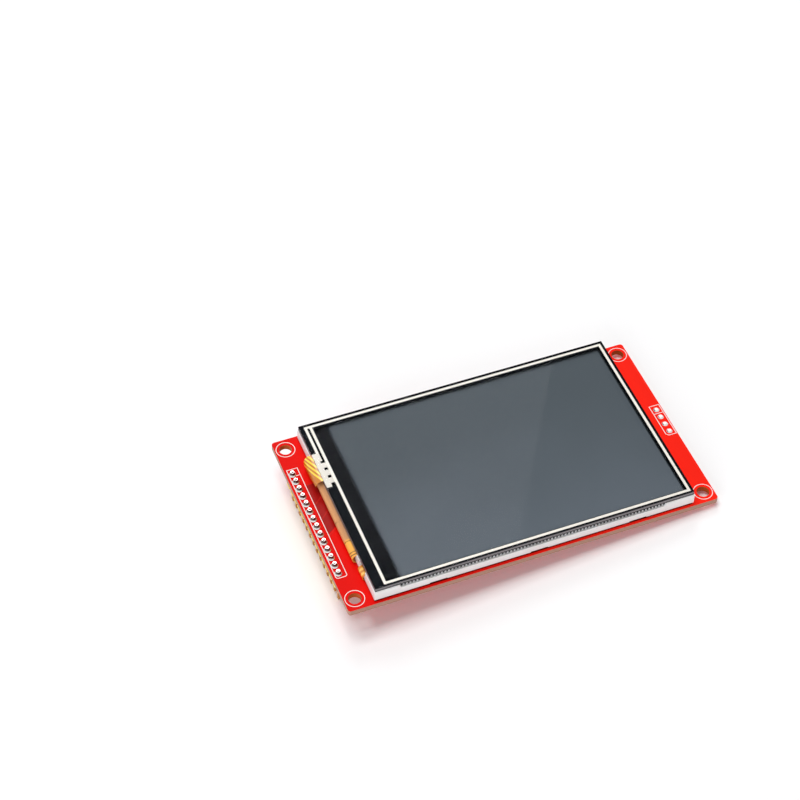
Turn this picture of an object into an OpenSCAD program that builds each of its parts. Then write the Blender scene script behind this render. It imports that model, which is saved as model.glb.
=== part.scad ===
// Touch display module: a circuit board that carries a layered colour display
// with a resistive touch panel on its front, and a pin header and a memory card
// socket on its back. Millimetres. The origin is the middle of the four mounting
// holes on the back face of the board. X runs along the board away from the
// header, Y across it, and Z out of the board towards the display.

/* [Circuit board] */
// length of the board
board_length = 98; // [97:0.5:104]
// width of the board
board_width = 56.34; // [56:0.5:64]
// thickness of the board
board_thickness = 1.6; // [1:0.1:2.4]
// radius of the board corners
board_corner_r = 0.8; // [0.2:0.1:1.5]
// distance from a board end to the middle of a mounting hole
hole_inset_x = 2.75; // [2.5:0.05:3.2]
// distance from a board side to the middle of a mounting hole
hole_inset_y = 3.27; // [2.5:0.01:5]
// diameter of a mounting hole
hole_d = 3.2; // [2.5:0.1:3.4]

/* [Pin header] */
// number of header pins
header_n = 14; // [4:1:17]
// distance between neighbouring pins
pin_pitch = 2.54; // [2.4:0.01:2.6]
// distance from the board edge to a row of pins or plated holes
row_inset = 1.65; // [1.5:0.05:1.8]
// side of a square pin
pin_side = 0.64; // [0.5:0.02:0.68]
// bare length of a pin below the housing
pin_reach = 6; // [3:0.5:12]
// length of a pin above the front of the board
pin_stub = 1.4; // [1.2:0.1:2]
// length of the taper at each pin end
pin_taper = 0.5; // [0.2:0.1:0.8]
// height of the header housing
housing_height = 2.54; // [1.5:0.1:4]
// width of the header housing
housing_width = 2.54; // [2.2:0.02:2.8]
// corner chamfer between neighbouring housing cells
housing_chamfer = 0.5; // [0.2:0.05:0.7]
// diameter of a plated hole
drill_d = 1; // [0.98:0.02:1.2]
// diameter of a solder joint at the board
joint_d = 1.9; // [1.5:0.05:2.2]
// height of a header solder joint
joint_height = 1.1; // [0.8:0.05:1.15]

/* [Card port holes] */
// number of plated holes in the card port row
port_n = 4; // [1:1:8]
// diameter of a solder cap on a port hole
port_cap_d = 1.6; // [1.3:0.05:2]
// height of a solder cap on a port hole
port_cap_height = 0.28; // [0.1:0.02:0.5]
// gap between the solder in a port hole and its wall
port_gap = 0.05; // [0.02:0.01:0.1]

/* [Display frame] */
// distance from a board end to the display frame
frame_end_gap = 6.75; // [6.2:0.05:8]
// distance from a board side to the display frame
frame_side_gap = 0.77; // [0.1:0.01:2]
// offset of the display centre along the board
display_x = 0.1; // [-0.4:0.1:0.4]
// thickness of the mounting tape under the frame
tape_thickness = 0.4; // [0.2:0.05:0.8]
// distance from a frame end to a mounting tape strip
tape_end_gap = 8; // [6.5:0.5:20]
// width of a mounting tape strip
tape_width = 9; // [4:0.5:12]
// thickness of the frame floor
frame_floor = 0.3; // [0.2:0.05:0.5]
// thickness of the low frame wall
frame_wall = 1.4; // [1:0.1:1.6]
// thickness of the raised lip round the cell
lip_wall = 0.35; // [0.25:0.05:0.5]
// length of a lip at the tail end of a long side
lip_tail_end = 6.5; // [5:0.5:9]
// length of a lip at the other end of a long side
lip_far_end = 8; // [5:0.5:12]
// radius where a lip runs down to the low wall
lip_round = 0.6; // [0.3:0.1:0.8]
// number of latch pockets in the lower edge of the front wall
pocket_n = 3; // [1:1:3]
// length of a latch pocket
pocket_length = 4.6; // [2:0.1:7]
// height of a latch pocket
pocket_height = 0.25; // [0.2:0.05:0.6]
// depth of a latch pocket
pocket_depth = 0.3; // [0.2:0.05:0.8]
// distance between latch pockets
pocket_pitch = 26.4; // [20:0.1:28]
// place of the middle latch pocket along the frame
pocket_x = 0.7; // [-4:0.1:4]

/* [Backlight] */
// thickness of the reflector sheet
reflector_thickness = 0.1; // [0.05:0.01:0.2]
// thickness of the light guide
guide_thickness = 1; // [0.9:0.05:1.4]
// thickness of the diffuser sheet
diffuser_thickness = 0.15; // [0.13:0.01:0.25]
// thickness of one prism sheet
prism_thickness = 0.17; // [0.1:0.01:0.25]
// thickness of a polariser
polariser_thickness = 0.15; // [0.1:0.01:0.2]
// play round a sheet inside the frame
sheet_play = 0.3; // [0.1:0.05:0.5]
// number of backlight lamps
lamp_n = 6; // [2:1:9]
// distance between backlight lamps
lamp_pitch = 7.6; // [4.2:0.1:7.8]
// length of a backlight lamp
lamp_length = 3.8; // [2:0.1:4]
// depth of a backlight lamp
lamp_depth = 1; // [0.6:0.1:1.2]
// height of a backlight lamp
lamp_height = 0.8; // [0.5:0.05:0.85]
// thickness of the backlight strip and tail
strip_thickness = 0.12; // [0.08:0.01:0.12]
// width of the backlight strip
strip_width = 3.6; // [3:0.1:3.8]
// width of the backlight tail
strip_tail_width = 3.2; // [2:0.1:4]
// gap between the display tail and the backlight tail
strip_tail_gap = 2.5; // [1:0.1:4]
// length of the backlight strip that lies on the light guide
strip_lap = 0.9; // [0.5:0.1:1.2]
// gap between a lamp and the light guide
lamp_gap = 0.2; // [0.05:0.05:0.3]
// gap between the backlight strip and the diffuser
diffuser_gap = 0.15; // [0.1:0.05:0.5]

/* [Display cell] */
// thickness of one glass of the cell
cell_glass = 0.4; // [0.3:0.05:0.6]
// play between the cell and the lip
cell_play = 0.1; // [0.05:0.05:0.3]
// length of the array glass ledge that the filter glass leaves bare
ledge_length = 4.4; // [4.2:0.1:5]
// distance from the cell end to the light shield's inner edge
shield_width = 6.7; // [5.5:0.1:7.5]
// thickness of the light shield
shield_thickness = 0.1; // [0.05:0.01:0.12]
// length of the driver chip
chip_length = 24; // [12:0.5:30]
// width of the driver chip
chip_width = 1.4; // [0.8:0.1:1.6]
// height of the driver chip
chip_height = 0.3; // [0.2:0.05:0.35]
// thickness of the display tail
tail_thickness = 0.12; // [0.08:0.01:0.16]
// width of the display tail
tail_width = 27.6; // [20:0.1:28]
// gap between the touch tail and the display tail
tail_gap = 0.2; // [0.1:0.05:0.6]
// length of the display tail under the frame
tail_foot = 4.5; // [3:0.5:6]
// length of tail bonded on the ledge
tail_bond = 2; // [1:0.1:2.2]

/* [Touch panel] */
// how far the touch panel's edge stands in from the frame's edge
touch_step = 0.2; // [0.05:0.05:0.3]
// thickness of the adhesive under the touch glass
touch_bond = 0.2; // [0.1:0.05:0.4]
// width of the adhesive ring under the touch glass
touch_bond_width = 1.4; // [1:0.1:1.4]
// thickness of the touch glass
touch_glass_thickness = 0.7; // [0.5:0.1:1.2]
// thickness of the black spacer under the film
spacer_thickness = 0.1; // [0.1:0.02:0.2]
// thickness of the top film
film_thickness = 0.2; // [0.1:0.05:0.3]
// width of the spacer at the tail end
spacer_tail_end = 3.7; // [3.6:0.1:5]
// width of the spacer at the other end
spacer_far_end = 1.5; // [1.45:0.05:3]
// width of the spacer along the upper side
spacer_upper = 1.85; // [1.8:0.05:3]
// width of the spacer along the lower side
spacer_lower = 1.45; // [1.4:0.05:3]
// width of a conductor line
line_width = 0.7; // [0.5:0.05:0.8]
// thickness of a conductor line
line_thickness = 0.05; // [0.03:0.01:0.06]
// distance from the panel edge to the outer conductor
line_inset = 1.25; // [0.9:0.05:1.3]
// distance from the panel edge to the other conductors
line_margin = 0.6; // [0.4:0.05:0.65]
// gap between the two conductors at the tail end
line_gap = 0.6; // [0.5:0.05:0.7]
// distance from the touch panel's upper side to its tail
touch_tail_inset = 9.8; // [6:0.1:12]
// width of the touch tail at the board
touch_tail_width = 4.6; // [3:0.1:4.8]
// width of the touch tail at the panel
touch_neck_width = 8.9; // [5:0.1:9.5]
// thickness of the touch tail
touch_tail_thickness = 0.1; // [0.06:0.01:0.1]
// length of the touch tail's bonded head across the panel
touch_head_length = 11.4; // [10.5:0.1:13]
// length of the slot in the head between the two conductor lines
head_slot = 3.45; // [2.5:0.05:4]
// side of a square window in the head
head_window = 0.9; // [0.6:0.05:1]
// distance between the square windows in the head
head_window_pitch = 2.6; // [2.3:0.1:2.8]
// from the foot of the slot to the middle of the first window
head_window_inset = 2; // [1.6:0.1:2.4]
// length of the foot that turns the slot outwards
head_foot = 0.75; // [0.4:0.05:1]
// length of the step at the end of the head
head_step_length = 1.25; // [0.5:0.05:1.4]
// width of the step at the end of the head
head_step_width = 1.05; // [0.5:0.05:1.2]
// bend radius of the touch tail
touch_tail_bend = 1.7; // [1.2:0.1:1.9]

/* [Card socket] */
// place of the socket centre along the board
socket_x = 10.4; // [-10:0.1:20]
// distance from the board side to the card entry
socket_edge_gap = 4.67; // [2:0.01:8]
// depth of the socket
socket_depth = 16.4; // [15:0.1:18]
// height of the socket
socket_height = 2.9; // [2.8:0.1:3.4]
// thickness of the socket sheet
sheet = 0.2; // [0.15:0.01:0.25]
// width of the card opening
card_width = 24.2; // [22:0.1:27]
// width of a plastic rail beside the card
rail_width = 1; // [0.8:0.1:1.5]
// thickness of the socket floor under the card
socket_floor = 0.45; // [0.4:0.05:0.55]
// how much the skewed corner narrows the socket
skew_width = 2.1; // [1.5:0.1:2.2]
// depth from the lead side where the skewed corner begins
skew_start = 5.2; // [5:0.1:6]
// depth from the lead side where the skewed corner ends
skew_end = 7.2; // [7:0.1:8]
// depth of the block that holds the contacts
block_depth = 3.2; // [2.4:0.1:3.6]
// number of evenly spaced card contacts
contact_n = 8; // [2:1:8]
// distance from one side of the card opening to the first card contact
contact_side_gap = 2.3; // [2.2:0.1:3]
// distance from the other side of the card opening to the eighth card contact
contact_far_gap = 4.4; // [4.3:0.1:5]
// distance to the ninth card contact
contact_last_step = 1.95; // [1.8:0.05:2]
// distance from the socket's side to the outer switch contact
switch_side_gap = 1.05; // [0.9:0.05:1.1]
// distance between the two switch contacts
switch_step = 1.3; // [1.2:0.05:1.35]
// width of a contact strip
contact_width = 0.8; // [0.5:0.05:0.9]
// thickness of a contact strip
contact_thickness = 0.15; // [0.1:0.01:0.2]
// length of a contact foot outside the wall
foot_length = 1.3; // [0.8:0.1:2]
// play round a contact in its slot
contact_play = 0.12; // [0.08:0.02:0.15]
// distance from the socket's side to the middle of the spring finger
finger_side_gap = 3.85; // [3.4:0.05:5]
// distance from the card entry to the root of the spring finger
finger_root_gap = 4.5; // [3:0.1:6]
// length of the opening before the free end of the finger
finger_mouth = 1.7; // [1:0.1:2]
// width of the spring finger
finger_width = 1.5; // [1:0.1:1.8]
// width of a slot beside the spring finger
finger_slot = 0.5; // [0.3:0.05:0.7]
// length of the spring finger
finger_length = 8.4; // [6:0.1:9]
// how far the spring finger leans into the card space
finger_lean = 0.55; // [0.3:0.05:0.8]
// width of a solder tab of the shell
tab_width = 1.5; // [1:0.1:2]
// reach of a solder tab of the shell
tab_reach = 1; // [0.6:0.1:1.4]
// distance from either end of the socket to a solder tab
tab_inset = 2; // [1:0.1:2.6]
// size of a corner notch at the card entry
entry_notch = 0.8; // [0.5:0.1:1]

/* [Small parts] */
// length of a chip resistor or small capacitor
chip_l = 1.6; // [1:0.05:1.8]
// width of a chip resistor or small capacitor
chip_w = 0.8; // [0.5:0.05:0.9]
// height of a chip resistor
resistor_h = 0.45; // [0.3:0.05:0.6]
// height of a small capacitor
capacitor_h = 0.8; // [0.4:0.05:0.9]
// length of the large capacitor
big_l = 3.2; // [2.5:0.05:3.3]
// width of the large capacitor
big_w = 1.6; // [1.2:0.05:1.8]
// height of the large capacitor
big_h = 1.1; // [0.6:0.05:1.3]
// length of a metal end as a share of a chip's length
end_share = 0.2; // [0.15:0.01:0.3]
// length of a transistor body
transistor_l = 2.9; // [2.7:0.05:3.1]
// width of a transistor body
transistor_w = 1.3; // [1.1:0.05:1.4]
// height of a transistor
transistor_h = 1.05; // [0.9:0.05:1.2]
// distance between the two leads on one side of a transistor
transistor_pitch = 1.9; // [1.8:0.05:2]
// width of a transistor lead
transistor_lead = 0.42; // [0.3:0.02:0.5]
// clearance of a transistor body over the board
transistor_stand = 0.1; // [0.05:0.01:0.2]
// draft of a transistor body on each side
transistor_draft = 0.1; // [0.05:0.01:0.15]
// thickness of a transistor lead
lead_thickness = 0.12; // [0.08:0.01:0.15]
// reach of a transistor lead from its body
lead_reach = 0.6; // [0.5:0.05:0.8]
// distance between port resistors
port_resistor_pitch = 2.3; // [2:0.1:2.6]
// distance from the socket's lead side to the port resistors
port_resistor_gap = 7.6; // [5:0.1:9]

/* [Hidden] */
$fn = 48;
cut = 1;
// heights above the back face of the board
front_z = board_thickness;
frame_z = front_z + tape_thickness;
reflector_z = frame_z + frame_floor;
guide_z = reflector_z + reflector_thickness;
diffuser_z = guide_z + guide_thickness;
prism_z = diffuser_z + diffuser_thickness;
rear_z = prism_z + 2 * prism_thickness;
cell_z = rear_z + polariser_thickness;
filter_z = cell_z + cell_glass;
shield_z = filter_z + cell_glass;
lip_z = shield_z + polariser_thickness;
touch_z = lip_z + touch_bond;
spacer_z = touch_z + touch_glass_thickness;
film_z = spacer_z + spacer_thickness;
// rows of plated holes
header_x = row_inset - board_length / 2;
port_x = board_length / 2 - row_inset;
header_y0 = -pin_pitch * (header_n - 1) / 2;
port_y0 = -pin_pitch * (port_n - 1) / 2;
// mounting holes
hole_span_x = board_length - 2 * hole_inset_x;
hole_span_y = board_width - 2 * hole_inset_y;
// frame and what lies inside it
frame_length = board_length - 2 * frame_end_gap;
frame_width = board_width - 2 * frame_side_gap;
tape_length = frame_length - 2 * tape_end_gap;
frame_x0 = display_x - frame_length / 2;
frame_x1 = display_x + frame_length / 2;
well_x0 = frame_x0 + frame_wall;
well_x1 = frame_x1 - frame_wall;
well_half = frame_width / 2 - frame_wall;
cell_x0 = frame_x0 + lip_wall + cell_play;
cell_x1 = frame_x1 - lip_wall - cell_play;
cell_half = frame_width / 2 - lip_wall - cell_play;
sheet_x1 = well_x1 - sheet_play;
sheet_half = well_half - sheet_play;
strip_x0 = well_x0 + sheet_play;
strip_x1 = strip_x0 + strip_width;
guide_x0 = strip_x1 - strip_lap;
lamp_x0 = guide_x0 - lamp_gap - lamp_depth;
diffuser_x0 = strip_x1 + diffuser_gap;
// touch panel
touch_length = frame_length - 2 * touch_step;
touch_width = frame_width - 2 * touch_step;
touch_x0 = display_x - touch_length / 2;
touch_x1 = display_x + touch_length / 2;
touch_tail_y1 = touch_width / 2 - touch_tail_inset;
touch_tail_y0 = touch_tail_y1 - touch_tail_width;
touch_bend_x = touch_x0 - 0.3;
head_x1 = touch_x0 + line_inset + line_width + line_gap;
// display tail and backlight tail
tail_top = filter_z + tail_thickness - front_z;
tail_bend_x = frame_x0 + 0.45;
tail_y1 = touch_tail_y0 - tail_gap;
tail_y0 = tail_y1 - tail_width;
strip_top = diffuser_z + strip_thickness - front_z;
strip_bend_x = frame_x0 + 0.4;
strip_tail_y1 = tail_y0 - strip_tail_gap;
strip_tail_y0 = strip_tail_y1 - strip_tail_width;
tail_play = 0.3;
// card socket
socket_width = card_width + 2 * rail_width + 2 * sheet;
half_w = socket_width / 2;
card_half = card_width / 2;
contact_first = card_half - contact_side_gap;
contact_pitch = (card_width - contact_side_gap - contact_far_gap) / (contact_n - 1);
contact_last = contact_far_gap - card_half - contact_last_step;
finger_x = finger_side_gap - half_w;
socket_y = board_width / 2 - socket_edge_gap - socket_depth;
inner_h = socket_height - sheet;
skew_turn = tan((90 - atan2(skew_end - skew_start, skew_width)) / 2);
tunnel_h = socket_floor + 0.21;
contact_run = 6.4;
contact_heel = 0.5;
contact_bow = 0.7;
finger_free = socket_depth - finger_root_gap - finger_length;
// small parts: distance from the header row, place across, turn
cluster_resistors = [[14.85, 10.4, 0], [12.75, -13, 90], [18.95, -12.9, 90]];
cluster_capacitors = [[14.75, 7.6, 0], [17.65, 5, 90]];
big_capacitor = [13.25, -7, 0];
transistors = [[14.15, 4.8, 0], [15.55, -12.6, 90]];
port_resistor_x = socket_x - 2.7;
lead_level = transistor_h * 0.48;
port_resistor_y = socket_y - port_resistor_gap;

// flat plate with square corners, from its lower corner
module slab(x0, x1, y0, y1, z0, t) {
    translate([x0, y0, z0])
        cube([x1 - x0, y1 - y0, t]);
}

// flat outline with round corners
module round_rect(l, w, r) {
    square([l - 2 * r, w], center = true);
    square([l, w - 2 * r], center = true);
    for (sx = [-1, 1])
        for (sy = [-1, 1])
            translate([sx * (l / 2 - r), sy * (w / 2 - r)])
                circle(r);
}

// everything drawn under the board with heights measured away from its back
module under_board() {
    mirror([0, 0, 1])
        children();
}

// extrude an outline drawn in X and Z over a stretch of Y
module along_y(y0, y1) {
    translate([0, y1, 0])
        rotate([90, 0, 0])
            linear_extrude(y1 - y0)
                children();
}

// extrude an outline drawn in Y and Z over a stretch of X
module along_x(x0, x1) {
    translate([x0, 0, 0])
        rotate([90, 0, 90])
            linear_extrude(x1 - x0)
                children();
}

// rows of plated holes
module header_row() {
    for (i = [0:header_n - 1])
        translate([header_x, header_y0 + i * pin_pitch, 0])
            children();
}

module port_row() {
    for (i = [0:port_n - 1])
        translate([port_x, port_y0 + i * pin_pitch, 0])
            children();
}

module circuit_board() color("red")
    difference() {
        linear_extrude(board_thickness)
            round_rect(board_length, board_width, board_corner_r);
        for (sx = [-1, 1])
            for (sy = [-1, 1])
                translate([sx * hole_span_x / 2, sy * hole_span_y / 2, -cut])
                    cylinder(h = board_thickness + 2 * cut, d = hole_d);
        header_row()
            translate([0, 0, -cut])
                cylinder(h = board_thickness + 2 * cut, d = drill_d, $fn = 24);
        port_row()
            translate([0, 0, -cut])
                cylinder(h = board_thickness + 2 * cut, d = drill_d, $fn = 24);
    }

// one eight-sided cell of the header housing, joined to its neighbours
module housing_cell() {
    w = housing_width / 2;
    p = pin_pitch / 2;
    c = housing_chamfer;
    polygon([[w - c, -p], [w, c - p], [w, p - c], [w - c, p],
        [c - w, p], [-w, p - c], [-w, c - p], [c - w, -p]]);
}

module header_housing() color("khaki")
    under_board()
        difference() {
            linear_extrude(housing_height)
                header_row()
                    housing_cell();
            header_row()
                translate([-pin_side / 2, -pin_side / 2, -cut])
                    cube([pin_side, pin_side, housing_height + 2 * cut]);
        }

// side outline of a square pin with a taper at each end
module pin_outline() {
    top = front_z + pin_stub;
    low = -housing_height - pin_reach;
    s = pin_side / 2;
    polygon([[-s / 2, low], [s / 2, low], [s, low + pin_taper],
        [s, top - pin_taper], [s / 2, top], [-s / 2, top],
        [-s, top - pin_taper], [-s, low + pin_taper]]);
}

module header_pins() color("goldenrod")
    header_row()
        intersection() {
            along_x(-pin_side / 2, pin_side / 2)
                pin_outline();
            along_y(-pin_side / 2, pin_side / 2)
                pin_outline();
        }

// half section of a solder joint that creeps up its pin in a hollow curve
module solder_profile() {
    neck = pin_side * 0.75;
    flare = joint_d / 2 - neck;
    polygon([[0, 0], [joint_d / 2, 0], [joint_d / 2, joint_height * 0.06],
        [neck + flare * 0.45, joint_height * 0.24],
        [neck + flare * 0.16, joint_height * 0.52],
        [neck, joint_height], [0, joint_height]]);
}

// solder cones round the pins, standing on the front of the board
module header_solder() color("silver")
    header_row()
        difference() {
            translate([0, 0, front_z])
                rotate_extrude($fn = 20)
                    solder_profile();
            translate([-pin_side / 2, -pin_side / 2, front_z - cut])
                cube([pin_side, pin_side, joint_height + 2 * cut]);
        }

// solder that fills a port hole, with a low cap on each face of the board
module port_solder() color("silver")
    port_row() {
        plug_r = drill_d / 2 - port_gap;
        translate([0, 0, -port_cap_height])
            cylinder(h = port_cap_height, d1 = port_cap_d * 0.6, d2 = port_cap_d, $fn = 20);
        cylinder(h = front_z, r = plug_r, $fn = 20);
        translate([0, 0, front_z])
            cylinder(h = port_cap_height, d1 = port_cap_d, d2 = port_cap_d * 0.6, $fn = 20);
    }

module mounting_tape() color("white")
    for (s = [-1, 1])
        translate([display_x + 2, s * (frame_width / 2 - 2 - tape_width / 2), front_z])
            linear_extrude(tape_thickness)
                square([tape_length, tape_width], center = true);

// low walls and floor, then a thin lip round the cell that is open for the
// tails and along most of the two long sides
module backlight_frame() color("whitesmoke")
    difference() {
        slab(frame_x0, frame_x1, -frame_width / 2, frame_width / 2,
            frame_z, lip_z - frame_z);
        slab(well_x0, well_x1, -well_half, well_half, reflector_z, lip_z);
        slab(frame_x0 + lip_wall, frame_x1 - lip_wall, lip_wall - frame_width / 2,
            frame_width / 2 - lip_wall, cell_z, lip_z);
        along_y(-frame_width, frame_width)
            lip_opening();
        slab(frame_x0 - cut, well_x0 + cut, tail_y0 - tail_play,
            tail_y1 + tail_play, cell_z, lip_z);
        slab(frame_x0 - cut, well_x0 + cut, strip_tail_y0 - tail_play,
            strip_tail_y1 + tail_play, diffuser_z - tail_play / 2, lip_z);
        for (i = [0:pocket_n - 1])
            translate([pocket_x + (i - (pocket_n - 1) / 2) * pocket_pitch,
                -frame_width / 2, frame_z])
                cube([pocket_length, 2 * pocket_depth, 2 * pocket_height], center = true);
    }

// opening between the lips of a long side, with round lower corners
module lip_opening() {
    x0 = frame_x0 + lip_tail_end;
    x1 = frame_x1 - lip_far_end;
    translate([x0 + lip_round, cell_z])
        square([x1 - x0 - 2 * lip_round, lip_z]);
    translate([x0, cell_z + lip_round])
        square([x1 - x0, lip_z]);
    for (x = [x0 + lip_round, x1 - lip_round])
        translate([x, cell_z + lip_round])
            circle(lip_round);
}

module reflector_sheet() color("white")
    slab(guide_x0, sheet_x1, -sheet_half, sheet_half, reflector_z, reflector_thickness);

module light_guide() color("aliceblue")
    slab(guide_x0, sheet_x1, -sheet_half, sheet_half, guide_z, guide_thickness);

module backlight_lamps() color("lemonchiffon")
    for (i = [0:lamp_n - 1])
        translate([lamp_x0, (i - (lamp_n - 1) / 2) * lamp_pitch - lamp_length / 2,
            diffuser_z - lamp_height])
            cube([lamp_depth, lamp_length, lamp_height]);

// a flat strip that turns down round a half circle and ends flat on the board
module turned_tail(top, t, bend_x, upper_x, foot_x) {
    r = top / 2;
    translate([bend_x, front_z + r])
        difference() {
            circle(r);
            circle(r - t);
            translate([0, -2 * r])
                square([2 * r, 4 * r]);
        }
    translate([bend_x, front_z + top - t])
        square([upper_x - bend_x, t]);
    translate([bend_x, front_z])
        square([foot_x - bend_x, t]);
}

module backlight_strip() color("peru") {
    slab(strip_x0, strip_x1, -sheet_half, sheet_half, diffuser_z, strip_thickness);
    along_y(strip_tail_y0, strip_tail_y1)
        turned_tail(strip_top, strip_thickness, strip_bend_x, strip_x1, frame_x0 + tail_foot);
}

module diffuser_sheet() color("white")
    slab(diffuser_x0, sheet_x1, -sheet_half, sheet_half, diffuser_z, diffuser_thickness);

module prism_sheet_lower() color("gainsboro")
    slab(diffuser_x0, sheet_x1, -sheet_half, sheet_half, prism_z, prism_thickness);

module prism_sheet_upper() color("gainsboro")
    slab(diffuser_x0, sheet_x1, -sheet_half, sheet_half,
        prism_z + prism_thickness, prism_thickness);

module rear_polariser() color("slategray")
    slab(diffuser_x0, sheet_x1, -sheet_half, sheet_half, rear_z, polariser_thickness);

module array_glass() color("lightsteelblue")
    slab(cell_x0, cell_x1, -cell_half, cell_half, cell_z, cell_glass);

module driver_chip() color("dimgray")
    slab(cell_x0 + tail_bond + 0.3, cell_x0 + tail_bond + 0.3 + chip_width,
        -chip_length / 2, chip_length / 2, filter_z, chip_height);

module filter_glass() color("lightsteelblue")
    slab(cell_x0 + ledge_length, cell_x1, -cell_half, cell_half, filter_z, cell_glass);

module light_shield() color("black")
    slab(cell_x0, cell_x0 + shield_width - 0.1, -cell_half, cell_half,
        shield_z, shield_thickness);

module front_polariser() color("dimgray")
    slab(cell_x0 + shield_width, cell_x1, -cell_half, cell_half,
        shield_z, polariser_thickness);

module display_tail() color("sienna")
    along_y(tail_y0, tail_y1)
        turned_tail(tail_top, tail_thickness, tail_bend_x, cell_x0 + tail_bond,
            frame_x0 + tail_foot);

module touch_bond_ring() color("black")
    difference() {
        slab(touch_x0, touch_x1, -touch_width / 2, touch_width / 2, lip_z, touch_bond);
        slab(touch_x0 + touch_bond_width, touch_x1 - touch_bond_width,
            touch_bond_width - touch_width / 2, touch_width / 2 - touch_bond_width,
            lip_z - cut, 3 * cut);
    }

module touch_glass() color("lightcyan")
    slab(touch_x0, touch_x1, -touch_width / 2, touch_width / 2,
        touch_z, touch_glass_thickness);

// conductor lines: two at the tail end, one along each other side
module line_outline() {
    top = touch_width / 2 - line_margin;
    low = -touch_width / 2 + line_margin;
    far = touch_x1 - line_margin;
    outer = touch_x0 + line_inset;
    inner = outer + line_width + line_gap;
    translate([outer, touch_tail_y1])
        square([line_width, top - touch_tail_y1]);
    translate([inner, low])
        square([line_width, top - low]);
    translate([inner, low])
        square([far - inner, line_width]);
    translate([far - line_width, low])
        square([line_width, top - low]);
    translate([outer, top - line_width])
        square([far - outer, line_width]);
}

// head of the touch tail: from the panel edge to the inner line, with a slot that
// carries on the gap between the lines, two square windows and a stepped end
module touch_head_outline() {
    w = head_window;
    difference() {
        translate([touch_x0, touch_tail_y1 - touch_head_length])
            square([head_x1 - touch_x0, touch_head_length]);
        translate([head_x1 - line_gap, touch_tail_y1 - head_slot])
            square([line_gap + cut, head_slot + cut]);
        translate([head_x1 - 2 * line_gap, touch_tail_y1 - head_slot])
            square([line_gap + cut, head_foot]);
        for (i = [0, 1])
            translate([head_x1 - line_gap, touch_tail_y1 - head_slot
                - head_window_inset - i * head_window_pitch])
                square(w, center = true);
        translate([head_x1 - head_step_width,
            touch_tail_y1 - touch_head_length - cut])
            square([head_step_width + cut, head_step_length + cut]);
    }
}

module touch_spacer() color("black")
    difference() {
        slab(touch_x0, touch_x1, -touch_width / 2, touch_width / 2,
            spacer_z, spacer_thickness);
        slab(touch_x0 + spacer_tail_end, touch_x1 - spacer_far_end,
            spacer_lower - touch_width / 2, touch_width / 2 - spacer_upper,
            spacer_z - cut, 3 * cut);
        translate([0, 0, film_z - line_thickness])
            linear_extrude(cut)
                line_outline();
        slab(touch_x0 - cut, head_x1, touch_tail_y1 - touch_head_length,
            touch_tail_y1, spacer_z - cut, 3 * cut);
    }

module touch_lines() color("silver")
    translate([0, 0, film_z - line_thickness])
        linear_extrude(line_thickness)
            line_outline();

// touch tail: a head bonded under the film, a bend outside the panel that is
// straight in its middle and narrows there, and a foot on the board
module touch_tail() color("goldenrod") {
    t = touch_tail_thickness;
    r = touch_tail_bend;
    head_top = spacer_z + t;
    bend_x = touch_bend_x;
    neck_y0 = touch_tail_y1 - touch_neck_width;
    translate([0, 0, spacer_z])
        linear_extrude(t)
            touch_head_outline();
    along_y(neck_y0, touch_tail_y1) {
        translate([bend_x, spacer_z])
            square([touch_x0 - bend_x, t]);
        translate([bend_x, head_top - r])
            quarter_turn(r, t, 0);
    }
    along_x(bend_x - r, bend_x - r + t)
        polygon([[touch_tail_y0, front_z + r], [neck_y0, head_top - r],
            [touch_tail_y1, head_top - r], [touch_tail_y1, front_z + r]]);
    along_y(touch_tail_y0, touch_tail_y1) {
        translate([bend_x, front_z + r])
            quarter_turn(r, t, 1);
        translate([bend_x, front_z])
            square([tail_foot, t]);
    }
}

// quarter of a bent strip on the outer side, above or below the bend's middle
module quarter_turn(r, t, low) {
    difference() {
        circle(r);
        circle(r - t);
        translate([0, -2 * r])
            square([2 * r, 4 * r]);
        translate([-2 * r, low == 0 ? -2 * r : 0])
            square([4 * r, 2 * r]);
    }
}

module touch_film() color("white", 0.3)
    slab(touch_x0, touch_x1, -touch_width / 2, touch_width / 2, film_z, film_thickness);

// places on the socket: X from its centre, Y from its lead side
module socket_place() {
    under_board()
        translate([socket_x, socket_y, 0])
            children();
}

// socket outline, drawn in by a wall thickness
module socket_outline(s) {
    polygon([[s - half_w, s], [half_w - skew_width - s, s],
        [half_w - skew_width - s, skew_start + s * skew_turn],
        [half_w - s, skew_end + s * skew_turn],
        [half_w - s, socket_depth], [s - half_w, socket_depth]]);
}

// places of the contacts along the lead side
module each_card_contact() {
    for (i = [0:contact_n - 1])
        translate([contact_first - i * contact_pitch, 0, 0])
            children();
    translate([contact_last, 0, 0])
        children();
}

module each_switch_contact() {
    for (i = [0, 1])
        translate([switch_side_gap - half_w + i * switch_step, 0, 0])
            children();
}

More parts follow.
